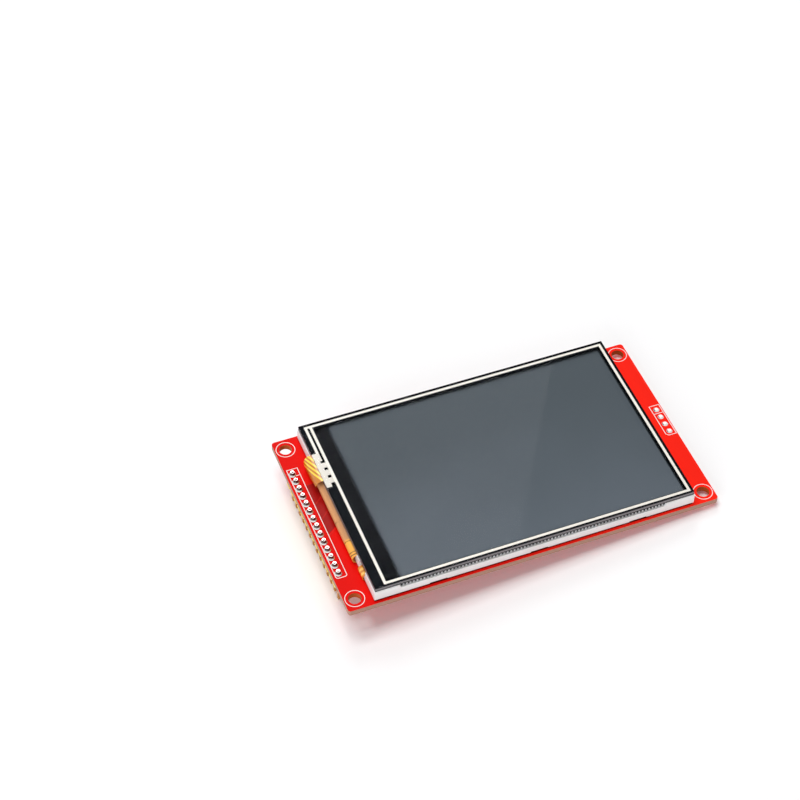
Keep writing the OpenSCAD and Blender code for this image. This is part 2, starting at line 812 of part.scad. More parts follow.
// folded sheet shell: top, three walls, a skewed corner, an opening for each
// contact, four solder tabs and a spring finger cut out of the top
module socket_shell() color("dimgray")
    socket_place() {
        difference() {
            linear_extrude(socket_height)
                socket_outline(0);
            translate([0, 0, -cut])
                linear_extrude(inner_h + cut)
                    socket_outline(sheet);
            translate([0, 0, -cut])
                linear_extrude(inner_h + cut)
                    translate([-half_w + sheet, socket_depth / 2])
                        square([socket_width - 2 * sheet, socket_depth]);
            each_card_contact()
                contact_tunnel(socket_depth / 2);
            each_switch_contact()
                contact_tunnel(socket_depth / 2);
            translate([finger_x - finger_width / 2 - finger_slot,
                finger_free - finger_mouth, inner_h - cut])
                cube([finger_width + 2 * finger_slot, finger_length + finger_mouth, 3 * cut]);
            for (s = [-1, 1])
                translate([s * half_w, socket_depth, socket_height])
                    cube([2 * entry_notch, 2 * entry_notch, 2 * entry_notch], center = true);
        }
        spring_finger();
        far = socket_depth - tab_inset - tab_width;
        for (v = [tab_inset, far])
            translate([-half_w - tab_reach, v, 0])
                cube([tab_reach + sheet, tab_width, sheet]);
        translate([half_w - sheet, far, 0])
            cube([tab_reach + sheet, tab_width, sheet]);
        translate([half_w - skew_width - sheet, tab_inset, 0])
            cube([tab_reach + sheet, tab_width, sheet]);
    }

// the finger leans into the card space and turns back at its free end
module spring_finger() {
    root = finger_free + finger_length;
    dip = finger_free + 1.6;
    along_x(finger_x - finger_width / 2, finger_x + finger_width / 2)
        polygon([[root, inner_h], [dip, inner_h - finger_lean],
            [finger_free, inner_h - finger_lean / 4],
            [finger_free, socket_height - finger_lean / 4],
            [dip, socket_height - finger_lean], [root, socket_height],
            [root + 0.5, socket_height], [root + 0.5, inner_h]]);
}

// passage for one contact through the wall, the block and the floor
module contact_tunnel(reach) {
    w = contact_width / 2 + contact_play;
    translate([-w, -cut, -cut])
        cube([2 * w, reach + cut, tunnel_h + cut]);
}

// plastic body: floor under the card, block at the lead side and side rails
module socket_body() color("darkslategray")
    socket_place()
        difference() {
            linear_extrude(inner_h)
                socket_outline(sheet);
            translate([0, 0, socket_floor])
                linear_extrude(socket_height)
                    card_outline();
            each_card_contact()
                contact_tunnel(contact_run + block_depth + 0.3);
            each_switch_contact()
                contact_tunnel(block_depth - contact_heel + contact_play);
            translate([0, socket_depth, -cut])
                linear_extrude(3 * cut + inner_h)
                    square([card_width * 0.6, 3], center = true);
            for (s = [-1, 1])
                translate([s * half_w, socket_depth, socket_height])
                    cube([2 * entry_notch, 2 * entry_notch, 2 * entry_notch], center = true);
        }

// space for the card, with its cut corner
module card_outline() {
    corner = skew_end - block_depth;
    polygon([[-card_half, block_depth], [card_half - corner, block_depth],
        [card_half, skew_end], [card_half, socket_depth + cut],
        [-card_half, socket_depth + cut]]);
}

// strip contact: foot on the board, run through the block, bowed spring end
module socket_contacts() color("gold")
    socket_place() {
        t = contact_thickness;
        rest = tunnel_h - contact_play - t;
        heel = contact_heel;
        bend = block_depth + contact_run * 0.47;
        tip = block_depth + contact_run;
        bow = tip - contact_run * 0.22;
        each_card_contact()
            along_x(-contact_width / 2, contact_width / 2)
                polygon([[-foot_length, 0], [heel, 0], [2 * heel, rest], [bend, rest],
                    [bow, rest + contact_bow], [tip, rest + contact_bow / 3],
                    [tip, rest + contact_bow / 3 + t], [bow, rest + contact_bow + t],
                    [bend, rest + t], [2 * heel - t / 2, rest + t],
                    [heel - t / 2, t], [-foot_length, t]]);
        each_switch_contact()
            along_x(-contact_width / 2, contact_width / 2)
                polygon([[-foot_length, 0], [heel, 0], [2 * heel, rest],
                    [block_depth - heel, rest], [block_depth - heel, rest + t],
                    [2 * heel - t / 2, rest + t], [heel - t / 2, t], [-foot_length, t]]);
    }

// put a small part on the back of the board, at a distance from the header row
module on_back(place) {
    under_board()
        translate([header_x + place[0], place[1], 0])
            rotate([0, 0, place[2]])
                children();
}

module chip_body(l, w, h) {
    b = l * (0.5 - end_share);
    translate([-b, 0.03 - w / 2, 0.03])
        cube([2 * b, w - 0.06, h - 0.05]);
}

module chip_caps(l, w, h) {
    e = l * end_share;
    for (s = [0, 1])
        translate([s * (l - e) - l / 2, -w / 2, 0])
            cube([e, w, h]);
}

module each_port_resistor() {
    for (i = [0:2])
        on_back([port_resistor_x - header_x + i * port_resistor_pitch, port_resistor_y, 90])
            children();
}

module resistor_bodies() color("black") {
    each_port_resistor()
        chip_body(chip_l, chip_w, resistor_h);
    for (p = cluster_resistors)
        on_back(p)
            chip_body(chip_l, chip_w, resistor_h);
}

module capacitor_bodies() color("tan") {
    for (p = cluster_capacitors)
        on_back(p)
            chip_body(chip_l, chip_w, capacitor_h);
    on_back(big_capacitor)
        chip_body(big_l, big_w, big_h);
}

module chip_ends() color("silver") {
    each_port_resistor()
        chip_caps(chip_l, chip_w, resistor_h);
    for (p = cluster_resistors)
        on_back(p)
            chip_caps(chip_l, chip_w, resistor_h);
    for (p = cluster_capacitors)
        on_back(p)
            chip_caps(chip_l, chip_w, capacitor_h);
    on_back(big_capacitor)
        chip_caps(big_l, big_w, big_h);
}

// moulded body with drafted sides above and below its leads
module transistor_bodies() color("black")
    for (p = transistors)
        on_back(p) {
            w = transistor_w / 2;
            d = transistor_draft;
            low = lead_level;
            high = lead_level + lead_thickness;
            along_x(-transistor_l / 2, transistor_l / 2)
                polygon([[d / 2 - w, transistor_stand], [w - d / 2, transistor_stand],
                    [w, low], [w, high], [w - d, transistor_h],
                    [d - w, transistor_h], [-w, high], [-w, low]]);
        }

// bent leads: two on one side of the body and one on the other
module transistor_leads() color("silver")
    for (p = transistors)
        on_back(p) {
            gull_lead(-transistor_pitch / 2, 1);
            gull_lead(transistor_pitch / 2, 1);
            gull_lead(0, -1);
        }

module gull_lead(x, side) {
    w = transistor_w / 2;
    t = lead_thickness;
    bend = lead_reach * 0.3;
    toe = w + lead_reach;
    translate([x, 0, 0])
        rotate([0, 0, side > 0 ? 0 : 180])
            along_x(-transistor_lead / 2, transistor_lead / 2)
                polygon([[w, lead_level], [w + bend - t / 2, lead_level], [w + bend, 0],
                    [toe, 0], [toe, t], [w + bend + t / 2, t],
                    [w + bend, lead_level + t], [w, lead_level + t]]);
}

circuit_board();
header_housing();
header_pins();
header_solder();
port_solder();
mounting_tape();
backlight_frame();
reflector_sheet();
light_guide();
backlight_lamps();
backlight_strip();
diffuser_sheet();
prism_sheet_lower();
prism_sheet_upper();
rear_polariser();
array_glass();
driver_chip();
filter_glass();
light_shield();
front_polariser();
display_tail();
touch_bond_ring();
touch_glass();
touch_spacer();
touch_lines();
touch_tail();
touch_film();
socket_shell();
socket_body();
socket_contacts();
resistor_bodies();
capacitor_bodies();
chip_ends();
transistor_bodies();
transistor_leads();
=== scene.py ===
"""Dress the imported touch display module: finishes, board print, studio and camera."""

import logging
import math
from dataclasses import dataclass
from enum import Enum
from functools import partial
from typing import Callable, Sequence

import bmesh
import bpy
from mathutils import Matrix, Vector


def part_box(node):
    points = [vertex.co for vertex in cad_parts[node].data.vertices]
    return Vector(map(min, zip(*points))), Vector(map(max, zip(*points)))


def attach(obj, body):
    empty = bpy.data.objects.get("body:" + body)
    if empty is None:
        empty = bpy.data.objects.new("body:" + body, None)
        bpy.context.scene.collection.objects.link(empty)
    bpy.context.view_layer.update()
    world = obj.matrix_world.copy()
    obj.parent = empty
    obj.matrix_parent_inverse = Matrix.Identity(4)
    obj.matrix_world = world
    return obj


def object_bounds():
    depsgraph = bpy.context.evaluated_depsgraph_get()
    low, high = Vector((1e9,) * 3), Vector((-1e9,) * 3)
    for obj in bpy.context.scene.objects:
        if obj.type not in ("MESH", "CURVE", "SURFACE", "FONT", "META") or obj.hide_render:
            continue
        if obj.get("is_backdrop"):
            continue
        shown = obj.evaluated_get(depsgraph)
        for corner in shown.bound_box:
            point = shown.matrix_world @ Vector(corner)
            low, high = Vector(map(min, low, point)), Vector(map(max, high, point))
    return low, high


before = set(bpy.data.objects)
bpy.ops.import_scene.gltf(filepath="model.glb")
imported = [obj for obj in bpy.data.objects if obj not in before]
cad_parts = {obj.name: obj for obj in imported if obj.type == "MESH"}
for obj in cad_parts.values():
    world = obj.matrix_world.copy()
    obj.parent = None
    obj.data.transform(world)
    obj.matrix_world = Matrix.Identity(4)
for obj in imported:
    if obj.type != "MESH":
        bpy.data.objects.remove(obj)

MM = 0.001
PITCH = 2.54  # of the header pins, in millimetres
MIX_INPUTS = (0, 6, 7)  # share and the two colours of a colour mix
MIDDLE = (0.3, 0.7)  # the values that a noise mostly keeps to
log = logging.getLogger("display_module")
Point = tuple[float, float]
Triple = tuple[float, float, float]
Box = tuple[float, float, float, float]
Colour = tuple[float, float, float, float]
Node = bpy.types.Node
Piece = bpy.types.Object
Adder = Callable[..., Node]


def linear(hex_text: str) -> Colour:
    """Turn an sRGB hex colour into the linear colour that a shader takes.

    Args:
        hex_text: colour as "#rrggbb".

    Returns:
        Linear red, green and blue, with an alpha of 1.
    """
    parts = [int(hex_text[i:i + 2], 16) / 255 for i in (1, 3, 5)]
    flat = [c / 12.92 if c <= 0.04045 else ((c + 0.055) / 1.055) ** 2.4 for c in parts]
    return (flat[0], flat[1], flat[2], 1.0)


def node(tree: bpy.types.NodeTree, kind: str, links: dict | tuple = (), **settings: object) -> Node:
    """Add a shader node, set its properties and fill or link its inputs.

    Args:
        tree: node tree that gets the node.
        kind: Blender's name of the node type without "ShaderNode", and its
            operation after a space.
        links: what goes into the inputs, by name or in their order: a number,
            a hex colour, a socket, or a node, which stands for its first output.
        **settings: other properties of the node, such as the run of its bands.

    Returns:
        The new node.
    """
    kind, _, operation = kind.partition(" ")
    made = tree.nodes.new("ShaderNode" + kind)
    if operation:
        settings["operation"] = operation
    if kind == "Mix":
        settings["data_type"] = "RGBA"
    for key, value in settings.items():
        setattr(made, key, value)
    if not isinstance(links, dict):
        links = dict(zip(MIX_INPUTS if kind == "Mix" else range(len(links)), links))
    for key, value in links.items():
        if isinstance(value, Node):
            value = next(out for out in value.outputs if out.enabled)
        if isinstance(value, bpy.types.NodeSocket):
            tree.links.new(value, made.inputs[key])
        else:
            made.inputs[key].default_value = linear(value) if isinstance(value, str) else value
    return made


def per_mm(size: float) -> float:
    """Texture scale that repeats once every size millimetres."""
    return 1.0 / (size * MM)


def band_mm(period: float) -> float:
    """Scale of a wave texture whose bands lie period millimetres apart."""
    return math.pi / 10 / (period * MM)


# ---- finishes ----


@dataclass(frozen=True)
class Finish:
    """A surface finish, built as one node material."""

    title: str

    def shader(self, add: Adder) -> Node:
        """Build the finish and give its last node; each finish has its own."""
        raise NotImplementedError

    def material(self) -> bpy.types.Material:
        """Make the material, or give the one that is already made.

        Returns:
            The material with this finish's title.
        """
        found = bpy.data.materials.get(self.title)
        if found is not None:
            return found
        made = bpy.data.materials.new(self.title)
        made.use_nodes = True
        made.node_tree.nodes.clear()
        add = partial(node, made.node_tree)
        add("OutputMaterial", {"Surface": self.shader(add)})
        return made


@dataclass(frozen=True)
class SolderMask(Finish):
    """Liquid solder mask on glass-fibre laminate.

    The mask gives the eye a smooth, evenly flowed, slightly glossy coat with a
    faint orange-peel. The routed edges show bare laminate, tan, with its glass
    layers as thin lines; the drilled walls are resin-stained and more orange.
    Under the frame hardly any light gets in, and the coat looks nearly black.
    """

    mask: str = "#ff2515"
    deep: str = "#e21009"
    laminate: str = "#c69a86"
    layer: str = "#a07a6a"
    drilled: str = "#c4632c"
    under: str = "#4c0a08"
    rim: Point = (48.6, 27.8)
    covered: Point = (42.1, 27.38)
    top_z: float = 0.8
    # painted light along X: the mask is deepest up to the first of these and palest from the second
    painted_shade_x: float = -22.0
    painted_light_x: float = 62.0
    waver: float = 40.0

    def inside(self, add: Adder, share: Node | float, away: list[Node], reach: Point) -> Node:
        """Narrow a share to the spots that lie within a reach from the middle.

        Args:
            add: adds a node.
            share: 0 to 1.
            away: distance from the middle along X and along Y.
            reach: limits of the two, in millimetres.

        Returns:
            The share, and 0 outside.
        """
        for axis, limit in zip(away, reach):
            within = add("Math LESS_THAN", (axis, limit * MM))
            share = add("Math MULTIPLY", (share, within))
        return share

    def shader(self, add: Adder) -> Node:
        """Mask on the two faces and laminate on the edges, told apart by the normal."""
        place = add("TexCoord")
        spot = place.outputs["Object"]
        facing = add("SeparateXYZ", (place.outputs["Normal"],)).outputs["Z"]
        upright = add("Math ABSOLUTE", (facing,))
        flat = add("Math GREATER_THAN", (upright, 0.5))
        # painted light: the mask is drawn paler towards the end with the card port and deeper towards the
        # header, as light falling across the board would show it
        cloud = add("TexNoise", {"Vector": spot, "Scale": per_mm(14), "Detail": 3.0})
        x, y, z = add("SeparateXYZ", (spot,)).outputs
        painted_light_run = add("Math MULTIPLY_ADD", (cloud, self.waver * MM, x))
        cloudy = add("MapRange", (painted_light_run, self.painted_shade_x * MM, self.painted_light_x * MM, 1.0, 0.0))
        mask = add("Mix", (cloudy, self.mask, self.deep))
        # glass layers of 0.2 mm, seen as thin lines round the edge
        layers = add("TexWave", {"Vector": spot, "Scale": band_mm(0.4), "Distortion": 1.5,
            "Detail": 2.0}, bands_direction="Z")
        routed = add("Mix", (layers.outputs["Fac"], self.laminate, self.layer))
        away = [add("Math ABSOLUTE", (axis,)) for axis in (x, y)]
        hole = self.inside(add, 1.0, away, self.rim)
        below = self.inside(add, add("Math GREATER_THAN", (z, self.top_z * MM)), away, self.covered)
        coat = add("Mix", (below, mask, self.under))
        edge = add("Mix", (hole, routed, self.drilled))
        colour = add("Mix", (flat, edge, coat))
        peel = add("TexNoise", {"Vector": spot, "Scale": per_mm(0.6)})
        rough = add("MapRange", (peel, 0.0, 1.0, 0.32, 0.44))
        bump = add("Bump", {"Height": peel, "Strength": 0.12, "Distance": 0.02 * MM})
        return add("BsdfPrincipled", {"Base Color": colour, "Roughness": rough,
            "Specular IOR Level": 0.04, "Normal": bump})


@dataclass(frozen=True)
class CoatedCopper(Finish):
    """Solder mask lying over etched copper, a little darker than over bare laminate."""

    colour: str = "#bd130d"
    deep: str = "#ab0f0a"

    def shader(self, add: Adder) -> Node:
        """One colour with soft clouds and a fine orange-peel."""
        spot = add("TexCoord").outputs["Object"]
        cloud = add("TexNoise", {"Vector": spot, "Scale": per_mm(5)})
        colour = add("Mix", (cloud, self.colour, self.deep))
        peel = add("TexNoise", {"Vector": spot, "Scale": per_mm(0.5)})
        rough = add("MapRange", (peel, 0.0, 1.0, 0.3, 0.42))
        return add("BsdfPrincipled", {"Base Color": colour, "Roughness": rough,
            "Specular IOR Level": 0.08})


@dataclass(frozen=True)
class Moulded(Finish):
    """Injection-moulded plastic or pressed ceramic.

    It gives the eye one solid colour with soft clouds, a fine even grain and
    dust or handling marks that change the roughness.
    """

    colour: str = "#e6e4e3"
    shade: str = "#d8d5d3"
    cloud: float = 6.0
    grain: float = 0.15
    low: float = 0.4
    high: float = 0.55
    relief: float = 0.1
    glow: float = 0.0
    gloss: float = 0.5

    def shader(self, add: Adder) -> Node:
        """Clouded colour, grainy bump and uneven roughness."""
        spot = add("TexCoord").outputs["Object"]
        cloud = add("TexNoise", {"Vector": spot, "Scale": per_mm(self.cloud), "Detail": 3.0})
        cloudy = add("MapRange", (cloud, *MIDDLE))
        colour = add("Mix", (cloudy, self.colour, self.shade))
        grain = add("TexNoise", {"Vector": spot, "Scale": per_mm(self.grain)})
        rough = add("MapRange", (grain, *MIDDLE, self.low, self.high))
        bump = add("Bump", {"Height": grain, "Strength": self.relief,
            "Distance": 0.1 * self.grain * MM})
        return add("BsdfPrincipled", {"Base Color": colour, "Roughness": rough,
            "Specular IOR Level": self.gloss, "Subsurface Weight": self.glow,
            "Subsurface Radius": (0.6 * MM, 0.5 * MM, 0.4 * MM), "Subsurface Scale": 1.0,
            "Normal": bump})


class Grain(Enum):
    """How a metal's surface marks run."""

    EVEN = (1.0, 1.0, 1.0)
    ALONG_X = (0.08, 1.0, 1.0)
    ALONG_Z = (1.0, 1.0, 0.08)


@dataclass(frozen=True)
class Metalwork(Finish):
    """Plated, stamped or soldered metal.

    It gives the eye a metallic colour with dull and bright patches; a drawn or
    rolled metal also has fine lines along its run. Steep sides may have a colour
    of their own: on solder a darker one, which is painted shade, and on the shell
    of the card socket a lighter one; a pin is tinned above the height tinned_z.
    """

    colour: str = "#c9c7c4"
    dull: str = "#a9a6a3"
    patch: float = 1.2
    low: float = 0.2
    high: float = 0.4
    marks: float = 0.08
    relief: float = 0.15
    run: Grain = Grain.EVEN
    steep: str = ""
    tinned_z: float = 100.0
    tinned: str = "#e8e6e2"

    def shader(self, add: Adder) -> Node:
        """Patches of tarnish in colour and roughness, with fine marks as bump."""
        place = add("TexCoord")
        spot = place.outputs["Object"]
        patch = add("TexNoise", {"Vector": spot, "Scale": per_mm(self.patch), "Detail": 4.0,
            "Roughness": 0.6})
        patchy = add("MapRange", (patch, 0.35, 0.65))
        shown = add("Mix", (patchy, self.colour, self.dull))
        rough = add("MapRange", (patchy, 0.0, 1.0, self.low, self.high))
        # painted shade on solder: steep sides take the darker colour steep; on the socket shell the steep
        # colour is lighter
        if self.steep:
            facing = add("SeparateXYZ", (place.outputs["Normal"],)).outputs["Z"]
            upright = add("Math ABSOLUTE", (facing,))
            slope = add("MapRange", (upright, 0.35, 0.8))
            shown = add("Mix", (slope, self.steep, shown))
        if self.tinned_z < 100.0:
            height = add("SeparateXYZ", (spot,)).outputs["Z"]
            above = add("Math GREATER_THAN", (height, self.tinned_z * MM))
            shown = add("Mix", (above, shown, self.tinned))
        drawn = add("Mapping", {"Vector": spot, "Scale": self.run.value})
        marks = add("TexNoise", {"Vector": drawn, "Scale": per_mm(self.marks)})
        bump = add("Bump", {"Height": marks, "Strength": self.relief, "Distance": 0.01 * MM})
        return add("BsdfPrincipled", {"Base Color": shown, "Metallic": 1.0, "Roughness": rough,
            "Normal": bump})


@dataclass(frozen=True)
class FlexStrip(Finish):
    """Polyimide film laminated over copper conductors.

    It gives the eye a warm amber sheen, with the conductors as lighter bands
    under the film that may cross the bend at a slant; a pale stiffener covers
    the end that is bonded in.
    """

    film: str = "#c87812"
    band: str = "#ffdd3a"
    pitch: float = 1.3
    share: float = 0.5
    start: float = 0.0
    count: int = 4
    lean: float = 0.0
    stiffener: str = "#d9d3c7"
    stiff_from: float = 100.0
    roughness: float = 0.22

    def shader(self, add: Adder) -> Node:
        """Slanted bands across Y under the film, and a pale stiffener beyond one X."""
        spot = add("TexCoord").outputs["Object"]
        x, y, z = add("SeparateXYZ", (spot,)).outputs
        # round the bend, X plus Z grows with the length of the strip
        along = add("Math ADD", (x, z))
        slant = add("Math MULTIPLY_ADD", (along, self.lean, y))
        step = add("Math SUBTRACT", (slant, self.start * MM))
        turns = add("Math MULTIPLY", (step, per_mm(self.pitch)))
        phase = add("Math FRACT", (turns,))
        # soft conductor edges, about a tenth of the pitch
        away = add("Math SUBTRACT", (phase, 0.5))
        side = add("Math ABSOLUTE", (away,))
        band = add("MapRange", (side, self.share / 2 - 0.04, self.share / 2 + 0.04, 1.0, 0.0))
        middle = add("Math SUBTRACT", (turns, self.count / 2))
        spread = add("Math ABSOLUTE", (middle,))
        within = add("Math LESS_THAN", (spread, self.count / 2))
        cloud = add("TexNoise", {"Vector": spot, "Scale": per_mm(2.5), "Detail": 3.0})
        dim = add("MapRange", (cloud, *MIDDLE, 0.88, 1.0))
        inside = add("Math MULTIPLY", (within, dim))
        shown = add("Math MULTIPLY", (band, inside))
        strip = add("Mix", (shown, self.film, self.band))
        stiff = add("Math GREATER_THAN", (x, self.stiff_from * MM))
        colour = add("Mix", (stiff, strip, self.stiffener))
        rough = add("MapRange", (cloud, 0.0, 1.0, self.roughness - 0.08, self.roughness + 0.08))
        bump = add("Bump", {"Height": shown, "Strength": 0.4, "Distance": 0.03 * MM})
        return add("BsdfPrincipled", {"Base Color": colour, "Roughness": rough,
            "Specular IOR Level": 0.9, "Normal": bump})


@dataclass(frozen=True)
class FoldedFilm(Finish):
    """Coverlay film of the display's tail, folded round the edge of the panel.

    It gives the eye a satin film whose bulge is painted tan as a highlight and
    turns browner towards the glass as painted shade, a golden end where the
    coverlay stops, and a few thin creases across the fold, darkened as painted shade.
    """

    # outer is a painted highlight on the bulge, inner the painted shade towards the glass
    outer: str = "#dd9f68"
    inner: str = "#b27c56"
    gold: str = "#f8b24c"
    # fold is the dark colour of the painted shade in the creases
    fold: str = "#7a4a26"
    turn_z: float = 4.4
    gold_y: float = -9.6
    creases: tuple[float, ...] = (-3.6, -10.1, -13.6, -14.4)
    crease: float = 0.14
    slant: float = 0.35

    def shader(self, add: Adder) -> Node:
        """Painted highlight tan to painted shade brown over the height of the fold, gold at its end, with
        creases darkened as painted shade.
        """
        spot = add("TexCoord").outputs["Object"]
        x, y, z = add("SeparateXYZ", (spot,)).outputs
        waver = add("TexNoise", {"Vector": spot, "Scale": per_mm(2.2), "Detail": 3.0})
        shift = add("Math MULTIPLY_ADD", (waver, 0.9 * MM, z))
        rise = add("MapRange", (shift, (self.turn_z - 0.1) * MM, (self.turn_z + 0.9) * MM))
        # painted highlight passing into painted shade over the height of the fold
        coat = add("Mix", (rise, self.outer, self.inner))
        lean = add("Math MULTIPLY_ADD", (shift, self.slant, y))
        # where a slanted line that meets the fold at Y 0 starts
        origin = self.slant * (self.turn_z + 0.4)
        start = self.gold_y + origin
        bare = add("MapRange", (lean, (start - 0.1) * MM, (start + 0.1) * MM, 1.0, 0.0))
        film = add("Mix", (bare, coat, self.gold))
        near: Node | float = 0.0
        for fold_y in self.creases:
            far = add("Math COMPARE", (lean, (fold_y + origin) * MM, self.crease * MM))
            near = add("Math MAXIMUM", (near, far))
        crease_shade_waver = add("MapRange", (waver, 0.3, 0.6, 0.3, 1.0))
        fade = add("Math MULTIPLY", (near, crease_shade_waver))
        # the creases are darkened with painted shade, unevenly along their length
        colour = add("Mix", (fade, film, self.fold))
        rough = add("MapRange", (waver, 0.0, 1.0, 0.3, 0.45))
        bump = add("Bump", {"Height": near, "Strength": 0.5, "Distance": -0.05 * MM})
        return add("BsdfPrincipled", {"Base Color": colour, "Roughness": rough,
            "Specular IOR Level": 0.45, "Normal": bump})


@dataclass(frozen=True)
class ClearSheet(Finish):
    """Clear glass or film, seen as a faint tint with a thin gloss on top.

    A cut glass edge is ground matt, so it shows as a pale frosted line, in whose
    lower half the fine conductors below show again. A film's cut edge is dark.
    """

    tint: str = "#ffffff"
    gloss_ior: float = 1.25
    roughness: float = 0.1
    smear: float = 9.0
    ground: str = ""
    chipped: str = "#6c686b"
    gap: str = "#1b1e22"
    pitch: float = 0.9
    low_z: float = 5.19
    high_z: float = 5.7

    def shader(self, add: Adder) -> Node:
        """Transparent sheet with a gloss that grows towards a grazing view."""
        place = add("TexCoord")
        spot = place.outputs["Object"]
        smear = add("TexNoise", {"Vector": spot, "Scale": per_mm(self.smear), "Detail": 3.0})
        rough = add("MapRange", (smear, *MIDDLE, self.roughness, self.roughness * 1.5))
        glossy = add("BsdfAnisotropic", {"Color": (1.0, 1.0, 1.0, 1.0), "Roughness": rough})
        clear = add("BsdfTransparent", {"Color": self.tint})
        share = add("Fresnel", {"IOR": self.gloss_ior})
        sheet = add("MixShader", (share, clear, glossy))
        if not self.ground:
            return sheet
        facing = add("SeparateXYZ", (place.outputs["Normal"],)).outputs["Z"]
        upright = add("Math ABSOLUTE", (facing,))
        steep = add("Math LESS_THAN", (upright, 0.5))
        chip = add("TexNoise", {"Vector": spot, "Scale": per_mm(1.1), "Detail": 3.0})
        pale = add("Mix", (chip, self.ground, self.chipped))
        comb = add("TexWave", {"Vector": spot, "Scale": band_mm(self.pitch)}, bands_direction="X")
        height = add("SeparateXYZ", (spot,)).outputs["Z"]
        reach = add("MapRange", (height, self.low_z * MM, self.high_z * MM, 0.9, 0.0))
        teeth = add("MapRange", (comb.outputs["Fac"], 0.0, 1.0, 0.45, 1.0))
        gaps = add("Math MULTIPLY", (teeth, reach))
        shown = add("Mix", (gaps, pale, self.gap))
        frost = add("BsdfPrincipled", {"Base Color": shown, "Roughness": 0.5})
        return add("MixShader", (steep, sheet, frost))


@dataclass(frozen=True)
class PolariserFilm(Finish):
    """Polariser film laminated to the cell, which looks dark grey when unlit.

    It gives the eye a blue-grey that a painted reflection makes a little lighter
    at the edge near the mounting holes, with a satin anti-glare coat. A painted
    shadow of the black border ink lies round the screen as a soft dark margin.
    """

    colour: str = "#656b6e"
    # light is the lighter grey of a painted reflection
    light: str = "#767c81"
    # the colour of the painted shadow of the border ink
    border_shadow: str = "#14181d"
    roughness: float = 0.35
    left: float = -35.1
    right: float = 40.65
    low: float = -25.75
    high: float = 26.5
    margin: float = 0.55
    wide_margin: float = 1.2
    # where the painted reflection is full and where it has gone, along Y
    reflection_y: float = -12.0
    reflection_end_y: float = 30.0

    def shader(self, add: Adder) -> Node:
        """Two greys that pass into each other as a painted reflection, fading to black at the margins as
        a painted shadow.
        """
        spot = add("TexCoord").outputs["Object"]
        x, y, z = add("SeparateXYZ", (spot,)).outputs
        cloud = add("TexNoise", {"Vector": spot, "Scale": per_mm(30)})
        # painted reflection: lighter grey towards the front, passing into the plain grey
        drift = add("Math MULTIPLY_ADD", (cloud, 30 * MM, y))
        side = add("MapRange", (drift, self.reflection_y * MM, self.reflection_end_y * MM, 1.0, 0.0),
                   interpolation_type="SMOOTHSTEP")
        grey = add("Mix", (side, self.colour, self.light))
        # painted shadow of the border ink along the four margins
        inside: Node | float = 1.0
        for axis, edge, depth in ((x, self.left, self.wide_margin), (x, self.right, -self.margin),
                                  (y, self.low, self.margin), (y, self.high, -self.margin)):
            fade = add("MapRange", (axis, edge * MM, (edge + depth) * MM),
                interpolation_type="SMOOTHSTEP")
            inside = add("Math MULTIPLY", (inside, fade))
        colour = add("Mix", (inside, self.border_shadow, grey))
        rough = add("MapRange", (cloud, 0.0, 1.0, self.roughness - 0.05, self.roughness + 0.05))
        return add("BsdfPrincipled", {"Base Color": colour, "Roughness": rough,
            "Specular IOR Level": 0.04})


@dataclass(frozen=True)
class CellGlass(Finish):
    """Display cell glass with its printed lead-outs.

    From the side it gives the eye a dark grey cut edge with a comb of fine
    upright lines, the ends of the conductors, which brighten towards the frame.
    """

    colour: str = "#16181c"
    line: str = "#f6f6f7"
    pitch: float = 0.9
    low_z: float = 4.0
    high_z: float = 4.85

    def shader(self, add: Adder) -> Node:
        """Fine lines across X and Y on a dark glossy glass."""
        spot = add("TexCoord").outputs["Object"]
        comb = add("TexWave", {"Vector": spot, "Scale": band_mm(self.pitch), "Distortion": 0.5},
            bands_direction="X")
        height = add("SeparateXYZ", (spot,)).outputs["Z"]
        # drawn a little coarser than the real 0.4 mm, so that the lines stay apart
        teeth = add("MapRange", (comb.outputs["Fac"], 0.38, 0.62))
        reach = add("MapRange", (height, self.low_z * MM, self.high_z * MM, 1.0, 0.5))
        broken = add("TexNoise", {"Vector": spot, "Scale": per_mm(5.0)})
        some = add("MapRange", (broken, 0.35, 0.6, 0.6, 1.0))
        lit = add("Math MULTIPLY", (teeth, reach))
        shown = add("Math MULTIPLY", (lit, some))
        colour = add("Mix", (shown, self.colour, self.line))
        rough = add("MapRange", (broken, 0.0, 1.0, 0.1, 0.25))
        return add("BsdfPrincipled", {"Base Color": colour, "Roughness": rough,
            "Specular IOR Level": 0.5})


@dataclass(frozen=True)
class ScreenInk(Finish):
    """Screen-printed ink or tape, matt, with the faint mesh of the screen in it."""

    colour: str = "#15181c"
    shade: str = "#1c2024"
    roughness: float = 0.55
    mesh: float = 0.18
    metal: float = 0.0
    gloss: float = 0.25

    def shader(self, add: Adder) -> Node:
        """Slightly uneven cover with mesh marks in its roughness and relief."""
        spot = add("TexCoord").outputs["Object"]
        cover = add("TexNoise", {"Vector": spot, "Scale": per_mm(1.5), "Detail": 4.0})
        colour = add("Mix", (cover, self.colour, self.shade))
        dots = add("TexVoronoi", {"Vector": spot, "Scale": per_mm(self.mesh)})
        rough = add("MapRange", (cover, 0.0, 1.0, self.roughness - 0.06, self.roughness + 0.06))
        bump = add("Bump", {"Height": dots.outputs["Distance"], "Strength": 0.1, "Distance": 0.01 * MM})
        return add("BsdfPrincipled", {"Base Color": colour, "Roughness": rough, "Metallic": self.metal,
            "Specular IOR Level": self.gloss, "Normal": bump})


